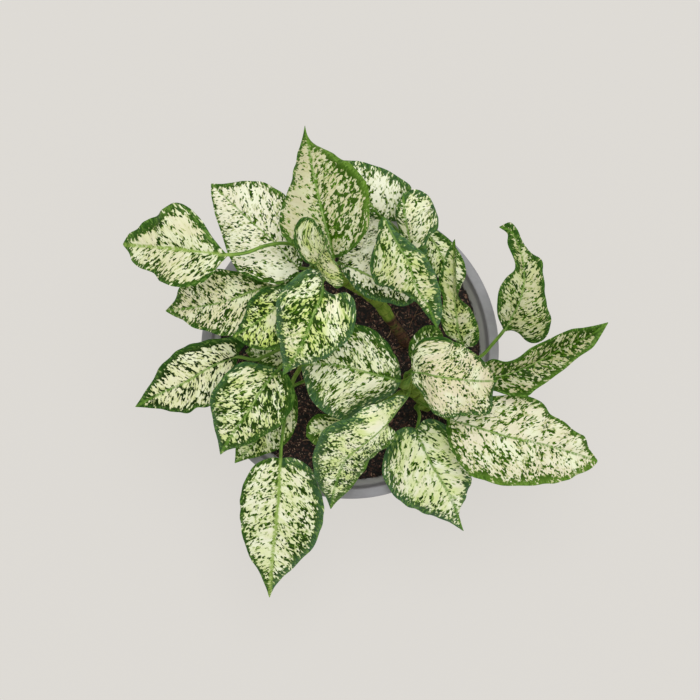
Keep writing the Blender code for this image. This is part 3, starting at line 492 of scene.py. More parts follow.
        right=((430, 362, 0), (441, 350, -1), (443, 337, -1)),
    ),
}


def placed(points):
    """Metres for (across, down, height) points: pixels in the view from above, and millimetres."""
    points = np.atleast_2d(np.asarray(points, float))
    height = points[:, 2] * MM
    scale = (VIEW_HEIGHT - height) / PIXELS_PER_SLOPE
    x = (points[:, 0] - VIEW_MIDDLE) * scale
    y = (VIEW_MIDDLE - points[:, 1]) * scale
    return np.column_stack((x, y, height))


def measure(line):
    """How far along a line each of its points lies."""
    return np.concatenate(([0.0], np.cumsum(np.linalg.norm(np.diff(line, axis=0), axis=1))))


def at_places(line, walked, wanted):
    """Points of a line this far along it, where its own points lie this far walked."""
    return np.column_stack([np.interp(wanted, walked, column) for column in line.T])


def respaced(line, step):
    """A line's points again, evenly spaced by about this step."""
    walked = measure(line)
    return at_places(line, walked, np.linspace(0, walked[-1], int(walked[-1] / step) + 2))


def smooth(points, fractions):
    """Points at these fractions of the length of a smooth curve through the given ones."""
    points = np.asarray(points, float)
    spans = np.diff(points, axis=0)
    lengths = np.linalg.norm(spans, axis=1)[:, None]
    slopes = spans / lengths
    tangents = np.vstack((slopes[:1], np.zeros((len(points) - 2, points.shape[1])), slopes[-1:]))
    if len(points) > 2:
        before, after = lengths[:-1], lengths[1:]
        tangents[1:-1] = (slopes[:-1] * after + slopes[1:] * before) / (before + after)
    run = [points[:1]]
    share = (np.arange(CURVE_STEPS)[:, None] + 1) / CURVE_STEPS
    ahead = share**2 * (3 - 2 * share)
    for i, length in enumerate(lengths):
        leave = share * (1 - share) ** 2 * length
        arrive = share**2 * (share - 1) * length
        straight = points[i] * (1 - ahead) + points[i + 1] * ahead
        run.append(straight + tangents[i] * leave + tangents[i + 1] * arrive)
    run = np.vstack(run)
    walked = measure(run)
    return at_places(run, walked, np.asarray(fractions) * walked[-1])


def unit(vector):
    return vector / np.linalg.norm(vector)


def eased(value, low, high):
    """0 up to low, 1 from high, and a smooth rise between them."""
    share = np.clip((np.asarray(value, float) - low) / (high - low), 0, 1)
    return share * share * (3 - 2 * share)


def inner_radius(height):
    return RIM_RADIUS - LIP_WIDTH - (POT_HEIGHT - height) * TAPER


def stem_path(name):
    """The points of a stem's axis, in metres: straight up out of its hole, then along its own lean."""
    points = placed(STEMS[name])
    heights = (SOIL_TOP - HOLE_DEPTH + CLEARANCE, SOIL_TOP + SOIL_RELIEF + CLEARANCE)
    low = [(*points[0, :2], height) for height in heights]
    return np.vstack((low, points))


def stem_tube(name):
    """The points of a stem's axis and its radius at each: swollen at the leaf scars, tapered at the top."""
    shares = np.linspace(0, 1, STEM_STEPS)
    swell = 1 + SCAR * np.cos(shares * SCAR_TURNS * 2 * math.pi)
    return smooth(stem_path(name), shares), STEM_RADIUS * swell * (1 - TOP_TAPER * shares**6)


def blade_surface(leaf, along, across):
    """The middle surface of a blade, in metres, as rows of points from its left margin to its right."""
    base, tip = leaf["midrib"][0], leaf["midrib"][-1]
    midrib = smooth(leaf["midrib"], along)
    ends = (*base[:2], 0), (*tip[:2], 0)
    margins = [smooth((ends[0], *leaf[side], ends[1]), along) for side in ("left", "right")]
    columns = []
    for place in across:
        margin = margins[0] if place < 0 else margins[1]
        out = abs(place)
        flat = midrib[:, :2] * (1 - out) + margin[:, :2] * out
        width = np.linalg.norm(margin[:, :2] - midrib[:, :2], axis=1)
        height = midrib[:, 2] + margin[:, 2] * out + CROWN * width * 4 * out * (1 - out)
        columns.append(placed(np.column_stack((flat, height))))
    return np.stack(columns, axis=1)


def surface_normals(surface):
    """Unit normals of a grid of points, on the side from which its columns run left to right.

    Where the grid is narrow, near a leaf's tip, they turn to the normal on the midrib.
    """
    normals = np.cross(np.gradient(surface, axis=1), np.gradient(surface, axis=0))
    normals /= np.linalg.norm(normals, axis=2, keepdims=True)
    width = np.linalg.norm(surface[:, -1] - surface[:, 0], axis=1)[:, None, None]
    own = np.clip(width / NARROW - 0.4, 0, 1)
    middle = normals.shape[1] // 2
    normals = normals * own + normals[:, middle : middle + 1] * (1 - own)
    return normals / np.linalg.norm(normals, axis=2, keepdims=True)


def petiole_path(leaf, steps):
    """The petiole's axis from its stem to the blade's base, in metres, and the way in which it sets out."""
    axis, radii = stem_tube(leaf["stem"])
    if leaf["joint"] is None:
        climb = unit(axis[-1] - axis[-2])
        foot = axis[-1] + climb * 2 * CLEARANCE
        away = np.zeros(3)
    else:
        height, turn = leaf["joint"]
        place = np.interp(height * MM, axis[:, 2], np.arange(STEM_STEPS))
        below = min(int(place), STEM_STEPS - 2)
        share = place - below
        climb = unit(axis[below + 1] - axis[below])
        away = np.array((math.cos(math.radians(turn)), math.sin(math.radians(turn)), 0.0))
        away = unit(away - climb * (away @ climb))
        radius = radii[below] * (1 - share) + radii[below + 1] * share
        foot = axis[below] * (1 - share) + axis[below + 1] * share
        foot += away * (radius + CLEARANCE + SHEATH_RADIUS)
    top_of_sheath = foot + climb * 3 * SHEATH_RADIUS + away * SHEATH_LEAN
    targets = placed((*leaf["via"], leaf["midrib"][0]))
    return smooth(np.vstack((foot, top_of_sheath, targets)), steps), climb


class Shell:
    """A mesh in the making: closed lofts, each with its own place in the UV map and values at its points.

    A loft's rings run clockwise as seen from behind its first ring. "vein" holds the place in the pattern in
    millimetres, "edge" the distance from the margin and the margin's band, and the others how it is marked.
    """

    def __init__(self):
        self.points, self.faces, self.corners, self.slots = [], [], [], []
        self.values = {key: [] for key in ("vein", "edge", "look", "grain", "cream")}
        self.count = 0

    def loft(self, rings, box, slots=0, **values):
        rows, around = rings.shape[:2]
        index = self.count + np.arange(rows * around).reshape(rows, around)
        index = np.hstack((index, index[:, :1]))
        across, along = np.linspace(box[0], box[2], around + 1), np.linspace(box[1], box[3], rows)
        place = np.stack(np.meshgrid(across, along), axis=-1)
        for grid, store in ((index, self.faces), (place, self.corners)):
            quads = np.stack((grid[:-1, :-1], grid[:-1, 1:], grid[1:, 1:], grid[1:, :-1]), axis=2)
            store.append(quads.reshape((rows - 1) * around, 4, *grid.shape[2:]))
        slots = np.broadcast_to(slots, around)
        self.slots.append(np.tile(slots, rows - 1))
        near = np.arange(around // 2 - 1)
        far = around - 1 - near
        for row, turn, shift in ((0, -1, -CAP_STRIP), (rows - 1, 1, CAP_STRIP)):
            quads = np.stack((near, near + 1, far - 1, far), axis=1)[:, ::turn]
            edge = place[row, near], place[row, near + 1]
            flat = np.stack((*edge, edge[1] + (0, shift), edge[0] + (0, shift)), axis=1)[:, ::turn]
            self.faces.append(index[row][quads])
            self.corners.append(flat)
            self.slots.append(slots[near])
        self.points.append(rings.reshape(-1, 3))
        for key, store in self.values.items():
            store.append(np.broadcast_to(values.get(key, 0.0), (rows, around, 3)).reshape(-1, 3))
        self.count += rows * around

    def piece(self, name, materials, replaced=None):
        """The finished object, riding on the only body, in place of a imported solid."""
        mesh = bpy.data.meshes.new(name)
        mesh.from_pydata(np.concatenate(self.points).tolist(), [], np.concatenate(self.faces).tolist())
        mesh.polygons.foreach_set("material_index", np.concatenate(self.slots).astype(np.int32))
        layer = mesh.uv_layers.new(name="OFBake")
        layer.uv.foreach_set("vector", np.concatenate(self.corners).astype(np.float32).ravel())
        for key, store in self.values.items():
            attribute = mesh.attributes.new(key, "FLOAT_VECTOR", "POINT")
            attribute.data.foreach_set("vector", np.concatenate(store).astype(np.float32).ravel())
        mesh.shade_smooth()
        mesh.set_sharp_from_angle(angle=math.radians(SHARP_DEGREES))
        for material in materials:
            mesh.materials.append(material)
        made = linked(name, mesh)
        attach(made, "root")
        if replaced:
            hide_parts(replaced)


def linked(name, data):
    """A new object in the scene."""
    made = bpy.data.objects.new(name, data)
    bpy.context.scene.collection.objects.link(made)
    return made


def tube_rings(path, radii, sides=TUBE_SIDES):
    """Round rings along a path, each turned as little as possible from the last, and their angles."""
    tangents = np.gradient(path, axis=0)
    tangents /= np.linalg.norm(tangents, axis=1, keepdims=True)
    side = np.array((1.0, 0.3, 0.1))
    angles = turns(sides)
    rings = []
    for point, tangent, radius in zip(path, tangents, radii):
        side = unit(side - tangent * (side @ tangent))
        up = np.cross(tangent, side)
        rings.append(point + radius * (np.cos(angles)[:, None] * side + np.sin(angles)[:, None] * up))
    return np.array(rings), angles


def turns(sides):
    """The angles of a ring's points."""
    return np.arange(sides) / sides * 2 * math.pi


def strand_values(path, radii, angles, seed):
    """Along a tube: how far along, how far round, and the seed, in millimetres."""
    along = np.broadcast_to(measure(path)[:, None] / MM, (len(path), len(angles)))
    round_it = radii[:, None] * np.sin(angles)[None, :] / MM * 2
    return np.stack((along, round_it, np.full(along.shape, seed * SEED_STEP)), axis=-1)


def vein_places(surface, rib):
    """How far along the midrib each point of a blade lies, and how far from it, in metres.

    The midrib is carried on straight behind the blade's base, for the lobes that reach back there.
    """
    line = respaced(rib, RIB_SAMPLE)
    heading = unit(line[0] - line[HEADING_SPAN])
    behind = line[0] + heading * np.arange(LOBE_REACH, 0, -RIB_SAMPLE)[:, None]
    walked = np.concatenate((-np.linalg.norm(behind - line[0], axis=1), measure(line)))
    line = np.vstack((behind, line))
    tangents = np.gradient(line, axis=0)
    tangents /= np.linalg.norm(tangents, axis=1, keepdims=True)
    points = surface.reshape(-1, 3)
    nearest = np.linalg.norm(points[:, None] - line[None], axis=2).argmin(axis=1)
    off = points - line[nearest]
    ahead = np.einsum("ij,ij->i", off, tangents[nearest])
    aside = np.linalg.norm(off - tangents[nearest] * ahead[:, None], axis=1)
    return (walked[nearest] + ahead).reshape(surface.shape[:2]), aside.reshape(surface.shape[:2])


def margin_distance(surface):
    """How far each point of a blade lies from its nearest margin, in metres."""
    rim = np.vstack([respaced(surface[:, side], RIB_SAMPLE * 2) for side in (0, -1)])
    points = surface.reshape(-1, 3)
    return np.linalg.norm(points[:, None] - rim[None], axis=2).min(axis=1).reshape(surface.shape[:2])


def blade_relief(along, aside, vein, across, margins, seed):
    """How far a blade's points stand out of its even surface: panels between veins, waves at the margins."""
    panels = np.abs(np.sin(math.pi * vein / LATERAL_SPACING)) ** 0.8 - 0.5
    panels = panels * eased(aside, 0.0, PANEL_START) * (1 - 0.75 * np.abs(across) ** 4)
    places = zip((along * SWELLS_ALONG).ravel(), (aside * np.sign(across) * SWELLS_ACROSS).ravel())
    swell = np.array([noise.noise(Vector((a, b, seed * 7.3))) for a, b in places])
    swell = swell.reshape(along.shape)
    waves = np.zeros(along.shape)
    for side, edge in zip((-1, 1), margins):
        phase = edge / WAVE_LENGTH + 0.35 * np.sin(edge * 61 + seed * 2.1) + seed * 0.37 + side * 0.21
        wave = np.sin(2 * math.pi * phase)[:, None] * np.abs(across) ** 3
        waves += np.where(across * side > 0, wave, 0.0)
    strength = np.minimum(1.0, aside.max(axis=1, keepdims=True) / BROAD)
    share = np.linspace(0, 1, len(along))[:, None]
    ends = eased(share, 0.0, 0.12) * (1 - eased(share, 0.86, 1.0))
    return (PANEL_RELIEF * panels + SWELL * swell * strength + WAVE * waves * strength) * ends


def blade_marks(leaf, rows, across, vein, aside, rim, seed):
    """What the pattern needs at each point of a blade, the same above and below."""
    dark, tint, left_band, right_band, left_tone, right_tone = leaf["look"]
    bands = np.where(across < 0, left_band, right_band)
    # A tone under 0 stands for a painted blue-grey sheen on the margin's band.
    tones = np.where(across < 0, left_tone, right_tone)
    near_base = (1 - eased(rows, 0.10, 0.45))[:, None] * np.maximum(tones, 0)
    patched = np.zeros(vein.shape)
    for t, v, reach_t, reach_v, amount in leaf.get("patches", ()):
        patched += amount * np.exp(-((rows[:, None] - t) / reach_t) ** 2 - ((across - v) / reach_v) ** 2)
    parts = dict(
        vein=(vein, aside * np.sign(across) / MM, seed * SEED_STEP),
        edge=(rim / MM, bands * (1 - 0.6 * near_base), tones * (1 - near_base)),
        look=(dark, tint, patched),
    )
    marks = {}
    for key, columns in parts.items():
        value = np.stack([np.broadcast_to(column, vein.shape) for column in columns], axis=-1)
        marks[key] = np.concatenate((value, value[:, ::-1]), axis=1)
    return marks


def build_leaf(name, leaf, seed):
    """One leaf: the blade as a thin shell, and its sheath, petiole and midrib as one tapering strand."""
    rows = np.linspace(BLADE_END, 1 - BLADE_END, BLADE_ROWS)
    columns = np.linspace(-1, 1, BLADE_COLUMNS)
    middle = BLADE_COLUMNS // 2
    surface = blade_surface(leaf, rows, columns)
    normals = surface_normals(surface)
    along, aside = vein_places(surface, surface[:, middle])
    # The lateral vein through each point, in millimetres along the midrib: they leave it slanting forwards
    vein = (along - LATERAL_SLANT * aside - LATERAL_CURVE * aside**2) / MM
    across = np.broadcast_to(columns, along.shape)
    margins = [measure(surface[:, side]) for side in (0, -1)]
    surface = surface + normals * blade_relief(along, aside, vein, across, margins, seed)[..., None]
    normals = surface_normals(surface)
    thickness = BLADE_THICKNESS * (1 - MARGIN_THIN * across**2)
    half = normals * thickness[..., None] / 2
    rings = np.concatenate((surface + half, (surface - half)[:, ::-1]), axis=1)

    grain = leaf.get("grain", EVEN_GRAIN)
    cream = (*leaf.get("cream", EVEN_CREAM), 0.0)
    marks = blade_marks(leaf, rows, across, vein, aside, margin_distance(surface), seed)
    shell = Shell()
    shell.loft(rings, BLADE_BOX, np.repeat((0, 1), BLADE_COLUMNS), grain=grain, cream=cream, **marks)

    shares = np.linspace(0, 1, PETIOLE_ROWS)
    petiole, climb = petiole_path(leaf, shares)
    rib_rows = rows < RIB_END
    rib_share = rows[rib_rows] / RIB_END
    rib_radii = RIB_TIP + (PETIOLE_RADIUS - RIB_TIP) * (1 - rib_share) ** 1.2
    proud = RIB_PROUD - (RIB_PROUD + RIB_SINK) * eased(rib_share, 0.4, 0.95)
    drop = thickness[rib_rows, middle] / 2 + proud - rib_radii
    rib = surface[rib_rows, middle] + normals[rib_rows, middle] * drop[:, None]
    petiole = petiole + (rib[0] - petiole[-1]) * eased(shares, 0.55, 1.0)[:, None]
    if leaf["joint"] is not None:
        axis, _ = stem_tube(leaf["stem"])
        inwards = axis[np.linalg.norm(axis - petiole[0], axis=1).argmin()] - petiole[0]
        inwards = inwards - climb * (inwards @ climb)
        sunk = (1 - eased(np.linalg.norm(petiole - petiole[0], axis=1), 0, SHEATH_ROOT))[:, None]
        petiole = petiole - climb * SHEATH_ROOT * 0.6 * sunk + inwards * sunk
    path = np.vstack((petiole[:-1], rib))
    stalk = SHEATH_RADIUS + (PETIOLE_RADIUS - SHEATH_RADIUS) * eased(shares[:-1], 0, 0.6)
    stalk += SHEATH_FLARE * (1 - eased(measure(petiole)[:-1], 0, 2 * SHEATH_ROOT))
    radii = np.concatenate((stalk, rib_radii))
    window = np.exp(-((np.arange(len(path)) - PETIOLE_ROWS) / JOINT_ROWS) ** 2)[1:-1, None]
    for _ in range(JOINT_ROUNDS):
        path[1:-1] += window * 0.5 * ((path[:-2] + path[2:]) / 2 - path[1:-1])
    tube, angles = tube_rings(path, radii)
    state = np.zeros(tube.shape)
    state[..., 0] = np.concatenate((shares[:-1], 1 + rib_share))[:, None]
    state[..., 1] = grain[2]
    shell.loft(tube, STRAND_BOX, 2, vein=strand_values(path, radii, angles, seed), edge=state)
    shell.piece(name + "_fine", (LEAF_UPPER, LEAF_LOWER, LEAF_STRAND), name)


def build_stem(name, seed):
    """One cane: rings where leaves have fallen, a little swollen there, and a closed top."""
    shares = np.linspace(0, 1, CANE_ROWS)
    path = smooth(stem_path(name), shares)
    length = measure(path) / MM
    swell = np.exp(-((length % SCAR_SPACING - SCAR_SPACING / 2) / SCAR_WIDTH) ** 2)
    above_foot = (path[:, 2] - SOIL_TOP) / MM - BROWN_FOOT.get(name, LOW_FOOT)
    old = eased(above_foot, 1.0, -3.0)
    radii = STEM_RADIUS * (0.98 + CANE_SWELL * swell) * (1 - TOP_TAPER * shares**6) * (1 - FOOT_THIN * old)
    radii *= 1 + RING_RELIEF * old * np.sin(length * 2 * math.pi / RING_SPACING)
    radii[-4:] *= (0.97, 0.9, 0.75, 0.5)
    rings, angles = tube_rings(path, radii, CANE_SIDES)
    uneven = np.array([[noise.noise(Vector(point * UNEVEN_PER_METRE)) for point in ring] for ring in rings])
    rings += (rings - path[:, None]) * uneven[..., None] * CANE_UNEVEN
    state = np.zeros(rings.shape)
    state[..., 0] = swell[:, None]
    state[..., 1] = above_foot[:, None]
    shell = Shell()
    shell.loft(rings, WHOLE_BOX, vein=strand_values(path, radii, angles, seed), edge=state)
    shell.piece(name + "_fine", (CANE,), name)


def build_pot():
    """The pot, turned: a smooth rolled lip, a plain collar and a tapering wall, open above the soil."""
    under_collar = POT_HEIGHT - COLLAR_HEIGHT
    wall_top = RIM_RADIUS - COLLAR_STEP
    corners = np.array((
        (0.0, 0.0, 0.0),
        (wall_top - under_collar * TAPER, 0.0, LIP_ROUND),
        (wall_top, under_collar, LIP_ROUND / 2),
        (RIM_RADIUS, under_collar, LIP_ROUND),
        (RIM_RADIUS, POT_HEIGHT, LIP_ROUND),
        (inner_radius(POT_HEIGHT), POT_HEIGHT, LIP_ROUND),
        (inner_radius(FLOOR), FLOOR, LIP_ROUND),
        (0.0, FLOOR, 0.0),
    ))
    profile = [np.array((POT_HUB, 0.0))]
    for before, corner, after in zip(corners[:-2, :2], corners[1:-1], corners[2:, :2]):
        corner, round_off = corner[:2], corner[2]
        enter, leave = corner + unit(before - corner) * round_off, corner + unit(after - corner) * round_off
        for share in np.linspace(0, 1, ROUND_STEPS):
            profile.append(enter * (1 - share) ** 2 + corner * 2 * share * (1 - share) + leave * share**2)
    profile.append(np.array((POT_HUB, FLOOR)))
    filled = [profile[0]]
    for point in profile[1:]:
        pieces = max(1, int(np.linalg.norm(point - filled[-1]) / POT_STEP))
        start = filled[-1]
        filled.extend(start + (point - start) * (k + 1) / pieces for k in range(pieces))
    shell = Shell()
    shell.loft(np.array([turned(radius, height, turns(POT_SIDES)) for radius, height in filled]), WHOLE_BOX)
    shell.piece("pot_fine", (POT,), "pot")


def turned(radius, height, angles):
    """A level ring of points."""
    return np.column_stack((radius * np.cos(angles), radius * np.sin(angles), np.full(len(angles), height)))


def soil_height(x, y):
    """The crumbly top of the soil: low swells, clods and crumbs, quieter at the pot's wall."""
    fade = 1 - 0.75 * (math.hypot(x, y) / inner_radius(SOIL_TOP)) ** 8
    low = noise.noise(Vector((x, y, 0)) * SWELLS_PER_METRE) * SOIL_RELIEF
    clods = 0.5 - noise.voronoi(Vector((x, y, 0.3)) * CLODS_PER_METRE)[0][0]
    crumbs = 0.5 - noise.voronoi(Vector((x, y, 0.7)) * CRUMBS_PER_METRE)[0][0]
    fine = noise.noise(Vector((x, y, 2)) * GRAINS_PER_METRE)
    return SOIL_TOP + low + fade * (CLODS * clods + CRUMBS * crumbs + SOIL_GRAIN * fine)


def build_soil():
    side = CLEARANCE * 1.1
    floor = FLOOR + CLEARANCE
    edge = inner_radius(SOIL_TOP) - side
    angles = turns(SOIL_SIDES)
    lower = ((SOIL_HUB, floor), (inner_radius(floor) - side, floor), (edge, SOIL_TOP - SOIL_SKIRT))
    rings = [turned(radius, height, angles) for radius, height in lower]
    for radius in np.linspace(edge, SOIL_HUB, SOIL_RINGS):
        ring = turned(radius, 0.0, angles)
        ring[:, 2] = [soil_height(x, y) for x, y, _ in ring.tolist()]
        rings.append(ring)
    shell = Shell()
    shell.loft(np.array(rings), WHOLE_BOX)
    shell.piece("soil_fine", (SOIL,), "soil")


def on_soil(picker, margin=CHIP_MARGIN):
    """A random place on the soil, off the pot's wall."""
    radius = (inner_radius(SOIL_TOP) - margin) * math.sqrt(picker.random())
    angle = picker.uniform(0, 2 * math.pi)
    x, y = radius * math.cos(angle), radius * math.sin(angle)
    return np.array((x, y, soil_height(x, y)))


def litter_box(i):
    """A small square of the UV map for each crumb."""
    count = math.ceil(math.sqrt(CHIPS + ROOTS))
    cell = 0.98 / count
    u, v = 0.01 + (i % count) * cell, 0.01 + (i // count) * cell
    return u + 0.1 * cell, v + 0.25 * cell, u + 0.9 * cell, v + 0.75 * cell


def build_litter():
    """Crumbs of bark and peat, and a few dry roots, lying on the soil."""
    picker = random.Random(LITTER_SEED)
    shell = Shell()
    for i in range(CHIPS):
        size = picker.uniform(*CHIP_SIZES) * picker.uniform(0.6, 1.0)
        turn = picker.uniform(0, math.pi)
        heading = np.array((math.cos(turn), math.sin(turn), picker.uniform(-0.35, 0.35)))
        middle = on_soil(picker) + (0, 0, size * 0.15)
        shares = np.linspace(-1, 1, 6)
        path = middle + shares[:, None] * size * heading
        radii = size * picker.uniform(0.35, 0.75) * np.sqrt(1.06 - shares**2)
        rings, _ = tube_rings(path, radii, CHIP_SIDES)
        jitter = np.array([[picker.uniform(0.72, 1.2) for _ in ring] for ring in rings])
        rings = path[:, None] + (rings - path[:, None]) * jitter[..., None]
        shell.loft(rings, litter_box(i), edge=(picker.random(), 0.0, 0.0), vein=(0.0, 0.0, i))
    for i in range(ROOTS):
        start = on_soil(picker, ROOT_MARGIN)
        heading = picker.uniform(0, 2 * math.pi)
        path = [start + (0, 0, ROOT_START)]
        for _ in range(ROOT_STEPS):
            heading += picker.uniform(-0.35, 0.35)
            x, y = path[-1][:2] + ROOT_STEP * np.array((math.cos(heading), math.sin(heading)))
            height = max(soil_height(x, y) + ROOT_LIFT, path[-1][2] - ROOT_DROP)
            path.append(np.array((x, y, height)))
        path = respaced(np.array(path), ROOT_STEP / 2)
        path = path[np.hypot(path[:, 0], path[:, 1]) < inner_radius(SOIL_TOP) - WALL_GAP]
        if len(path) < SHORTEST_ROOT:
            continue
        radii = picker.uniform(*ROOT_RADII) * (1 - 0.5 * np.linspace(0, 1, len(path)))
        rings, _ = tube_rings(path, radii, ROOT_SIDES)
        tone = 1.2 + 0.8 * picker.random()
        shell.loft(rings, litter_box(CHIPS + i), edge=(tone, 0.0, 0.0), vein=(0.0, 0.0, i))
    shell.piece("soil_litter", (LITTER,))


def linear(channels):
    """A colour on screen, 0 to 255, as the shader's linear colour."""
    shares = [channel / 255 for channel in channels]
    return (*[s / 12.92 if s <= 0.04045 else ((s + 0.055) / 1.055) ** 2.4 for s in shares], 1.0)


class Value:
    """A number in a material, out of a node: working with it adds more nodes."""

    def __init__(self, finish, socket):
        self.finish, self.socket = finish, socket

    def math(self, operation, other=0.0):
        return self.finish.add("Math", {0: self, 1: other}, operation=operation)

    def __add__(self, other):
        return self.math("ADD", other)

    def __sub__(self, other):
        return self.math("SUBTRACT", other)

    def __mul__(self, other):
        return self.math("MULTIPLY", other)

    def __truediv__(self, other):
        return self.math("DIVIDE", other)

    def at_least(self, other):
        return self.math("MAXIMUM", other)

    def rise(self, low, high):
        """0 where the value is under low, 1 over high, smooth between; low over high turns it round."""
        inputs = {"Value": self, "From Min": low, "From Max": high}
        return self.finish.add("MapRange", inputs, interpolation_type="SMOOTHSTEP")


class Finish:
    """A material in the making, and short ways to add its nodes."""

    def __init__(self, name):
        self.material = bpy.data.materials.new(name)
        self.material.use_nodes = True
        self.tree = self.material.node_tree
        self.shader = self.tree.nodes["Principled BSDF"]

    def fill(self, sockets, inputs):
        for name, value in inputs.items():
            if isinstance(value, Value):
                self.tree.links.new(value.socket, sockets[name])
            else:
                sockets[name].default_value = value

    def add(self, kind, inputs, output=0, **settings):
        """A new node's output, or several where their names are given."""
        made = self.tree.nodes.new("ShaderNode" + kind)
        for key, value in settings.items():
            setattr(made, key, value)
        self.fill(made.inputs, inputs)
        if isinstance(output, tuple):
            return [Value(self, made.outputs[name]) for name in output]
        return Value(self, made.outputs[output])

    def parts(self, vector):
        return self.add("SeparateXYZ", {0: vector}, (0, 1, 2))

    def read(self, name):
        """The three parts of a value kept at the mesh's points."""
        return self.parts(self.add("Attribute", {}, "Vector", attribute_name=name))

    def join(self, x, y, z):
        return self.add("CombineXYZ", {0: x, 1: y, 2: z})

    def place(self):
        return self.add("TexCoord", {}, "Object")

    def clouds(self, vector, scale=1.0, detail=2.0, roughness=0.5):
        inputs = {"Vector": vector, "Scale": scale, "Detail": detail, "Roughness": roughness}
        return self.add("TexNoise", inputs)

    def cells(self, vector, scale=1.0):
        """For the angular cell that holds each place: its middle, and a chance value of its own."""
        middle, colour = self.add("TexVoronoi", {"Vector": vector, "Scale": scale}, ("Position", "Color"))
        return middle, self.parts(colour)[0]

    def mix(self, share, first, second):
        """From the first colour to the second; a colour is a value or three numbers as on screen."""
        ends = [linear(colour) if isinstance(colour, tuple) else colour for colour in (first, second)]
        return self.add("Mix", {0: share, 6: ends[0], 7: ends[1]}, 2, data_type="RGBA")

    def paint(self, ground, *coats):
        """A colour with coats over it, each a share and a colour."""
        for share, colour in coats:
            ground = self.mix(share, ground, colour)
        return ground

    def set(self, colour, roughness, **inputs):
        inputs = {key.replace("_", " "): value for key, value in inputs.items()}
        self.fill(self.shader.inputs, {"Base Color": colour, "Roughness": roughness, **inputs})

    def bump(self, height, distance, strength=1.0):
        made = self.add("Bump", {"Height": height, "Distance": distance, "Strength": strength})
        self.tree.links.new(made.socket, self.shader.inputs["Normal"])


def blade_finish(name, under):
    """Cream blades, flecked and blotched with dark green along the lateral veins, with a green margin."""
    f = Finish(name)
    vein, aside, seed = f.read("vein")
    margin, band, tone = f.read("edge")
    dark, tint, patch = f.read("look")
    streaky, size, ribbed = f.read("grain")
    cream_tone_and_painted_light, darker, _ = f.read("cream")
    spread = aside.math("ABSOLUTE")
    yellow, pink = tint.at_least(0.0), (tint * -1.0).at_least(0.0)
    bright, painted_sheen = tone.at_least(0.0), (tone * -1.0).at_least(0.0)

    def clouds(over, along, detail=2.0, roughness=0.5):
        """Clouds over the blade, this fine over its lateral veins and along them."""
        return f.clouds(f.join(vein * over, aside * along, seed), 1.0, detail, roughness)

    # Angular cells, a little longer along the lateral veins: each is one speck of the pattern
    bend, jag = clouds(0.2, 0.12, 1.0), clouds(0.8, 0.6, 1.0)
    cell_across = vein * (1 / FLECK_WIDTH) / size + (bend * 3.0 + jag * 1.4)
    length = size * (streaky * FLECK_LENGTH[1] + FLECK_LENGTH[0])
    cell_along = aside / length + (bend * 1.6 - jag * 1.2)
    cell, chance = f.cells(f.join(cell_across, cell_along, seed))
    blotch = f.clouds(cell, 0.40, 2.0, 0.6)
    streak = clouds(0.42, 0.16, 2.0, 0.6)
    value = (blotch * 1.7 - 0.85) + (chance * 0.6 - 0.3) + (streak - 0.5) * (streaky * 0.7 + 0.2)

    # How much of the blade is dark here: more in some parts, towards the margin and beside the midrib
    regions = clouds(1 / 10, 1 / 13)
    near_margin = (margin / (band + 0.8)).rise(2.4, 0.5)
    level = (dark * 0.85 - 0.425) + patch + (regions * 0.9 - 0.45) + near_margin * 0.42
    excess = value + (level + spread.rise(4.0, 0.8) * 0.07)

    # The margin's band, with an uneven inner edge; a tone under 0 paints a blue-grey sheen over it
    ragged = clouds(0.5, 0.3, 3.0, 0.65)
    inner = band * (ragged * 1.6 - 0.25) + (chance * 3.4 - 2.0) + patch * 5.0 + (regions * 4.0 - 2.0)
    in_band = (inner - margin).rise(-0.2, 0.2)
    patchy = ragged.rise(0.3, 0.7) * 0.6
    leafy = f.paint(
        f.mix(patchy, (34, 72, 12), (66, 112, 36)),
        (bright, f.mix(patchy, (92, 130, 36), (126, 158, 62))),
        # Blue-grey over the band where the tone is under 0: a painted sheen.
        (painted_sheen * 0.75, f.mix(patchy, (70, 104, 78), (104, 136, 106))),
        (chance.rise(0.66, 0.86) * 0.55, (118, 154, 66)),
        (chance.rise(0.25, 0.12) * 0.5, (30, 66, 18)),
    )

    # The colours
    warm, fresh, fibres = clouds(1 / 22, 1 / 18), clouds(1 / 9, 1 / 12, 3.0), clouds(1.5, 0.16)
    cream = f.paint(
        (248, 250, 222),
        (warm.rise(0.38, 0.62), (242, 238, 206)),
        (pink * warm.rise(0.3, 0.55), (232, 210, 190)),
        (fresh.rise(0.3, 0.7) * (yellow * 0.7 + 0.2), (208, 226, 110)),
        (fibres.rise(0.45, 0.75) * 0.3, (206, 208, 152)),
        # Whitening here and dulling below: partly each leaf's own cream, partly painted light and shade.
        ((cream_tone_and_painted_light * 0.8).at_least(0.0), (255, 254, 238)),
        (excess.rise(-0.20, -0.01) * 0.7, f.mix(yellow, (168, 178, 92), (132, 166, 40))),
        ((cream_tone_and_painted_light * -1.0).at_least(0.0), (150, 150, 100)),
    )
    deep = f.paint(
        (80, 120, 18),
        (excess.rise(0.0, 0.16) + darker * 0.6, (34, 62, 0)),
        ((darker * 0.8).at_least(0.0), (14, 34, 0)),
        (near_margin * 0.8, leafy),
    )
    beside = (spread / ribbed).rise(1.4, 0.4) * (streak.rise(0.35, 0.6) * 0.55 + 0.3)
    rib = f.mix(ribbed.rise(*PALE_RIB), (104, 144, 52), (150, 178, 84))
    colour = f.paint(cream, (excess.rise(-0.02, 0.015), deep), (in_band, leafy), (beside, rib))
    if under:
        colour = f.mix(0.42, colour, (150, 172, 120))
    f.set(colour, clouds(0.3, 0.2) * 0.16 + (0.44 if under else 0.34), Specular_IOR_Level=GLOSS)

    # Fine veins and the groove of each lateral
    groove = (vein * (math.pi / LATERAL_SPACING)).math("SINE").math("ABSOLUTE")
    f.bump(groove.rise(0.0, 0.25) * 0.6 + fibres * 0.8, 0.00022, 0.8)
    return f.material


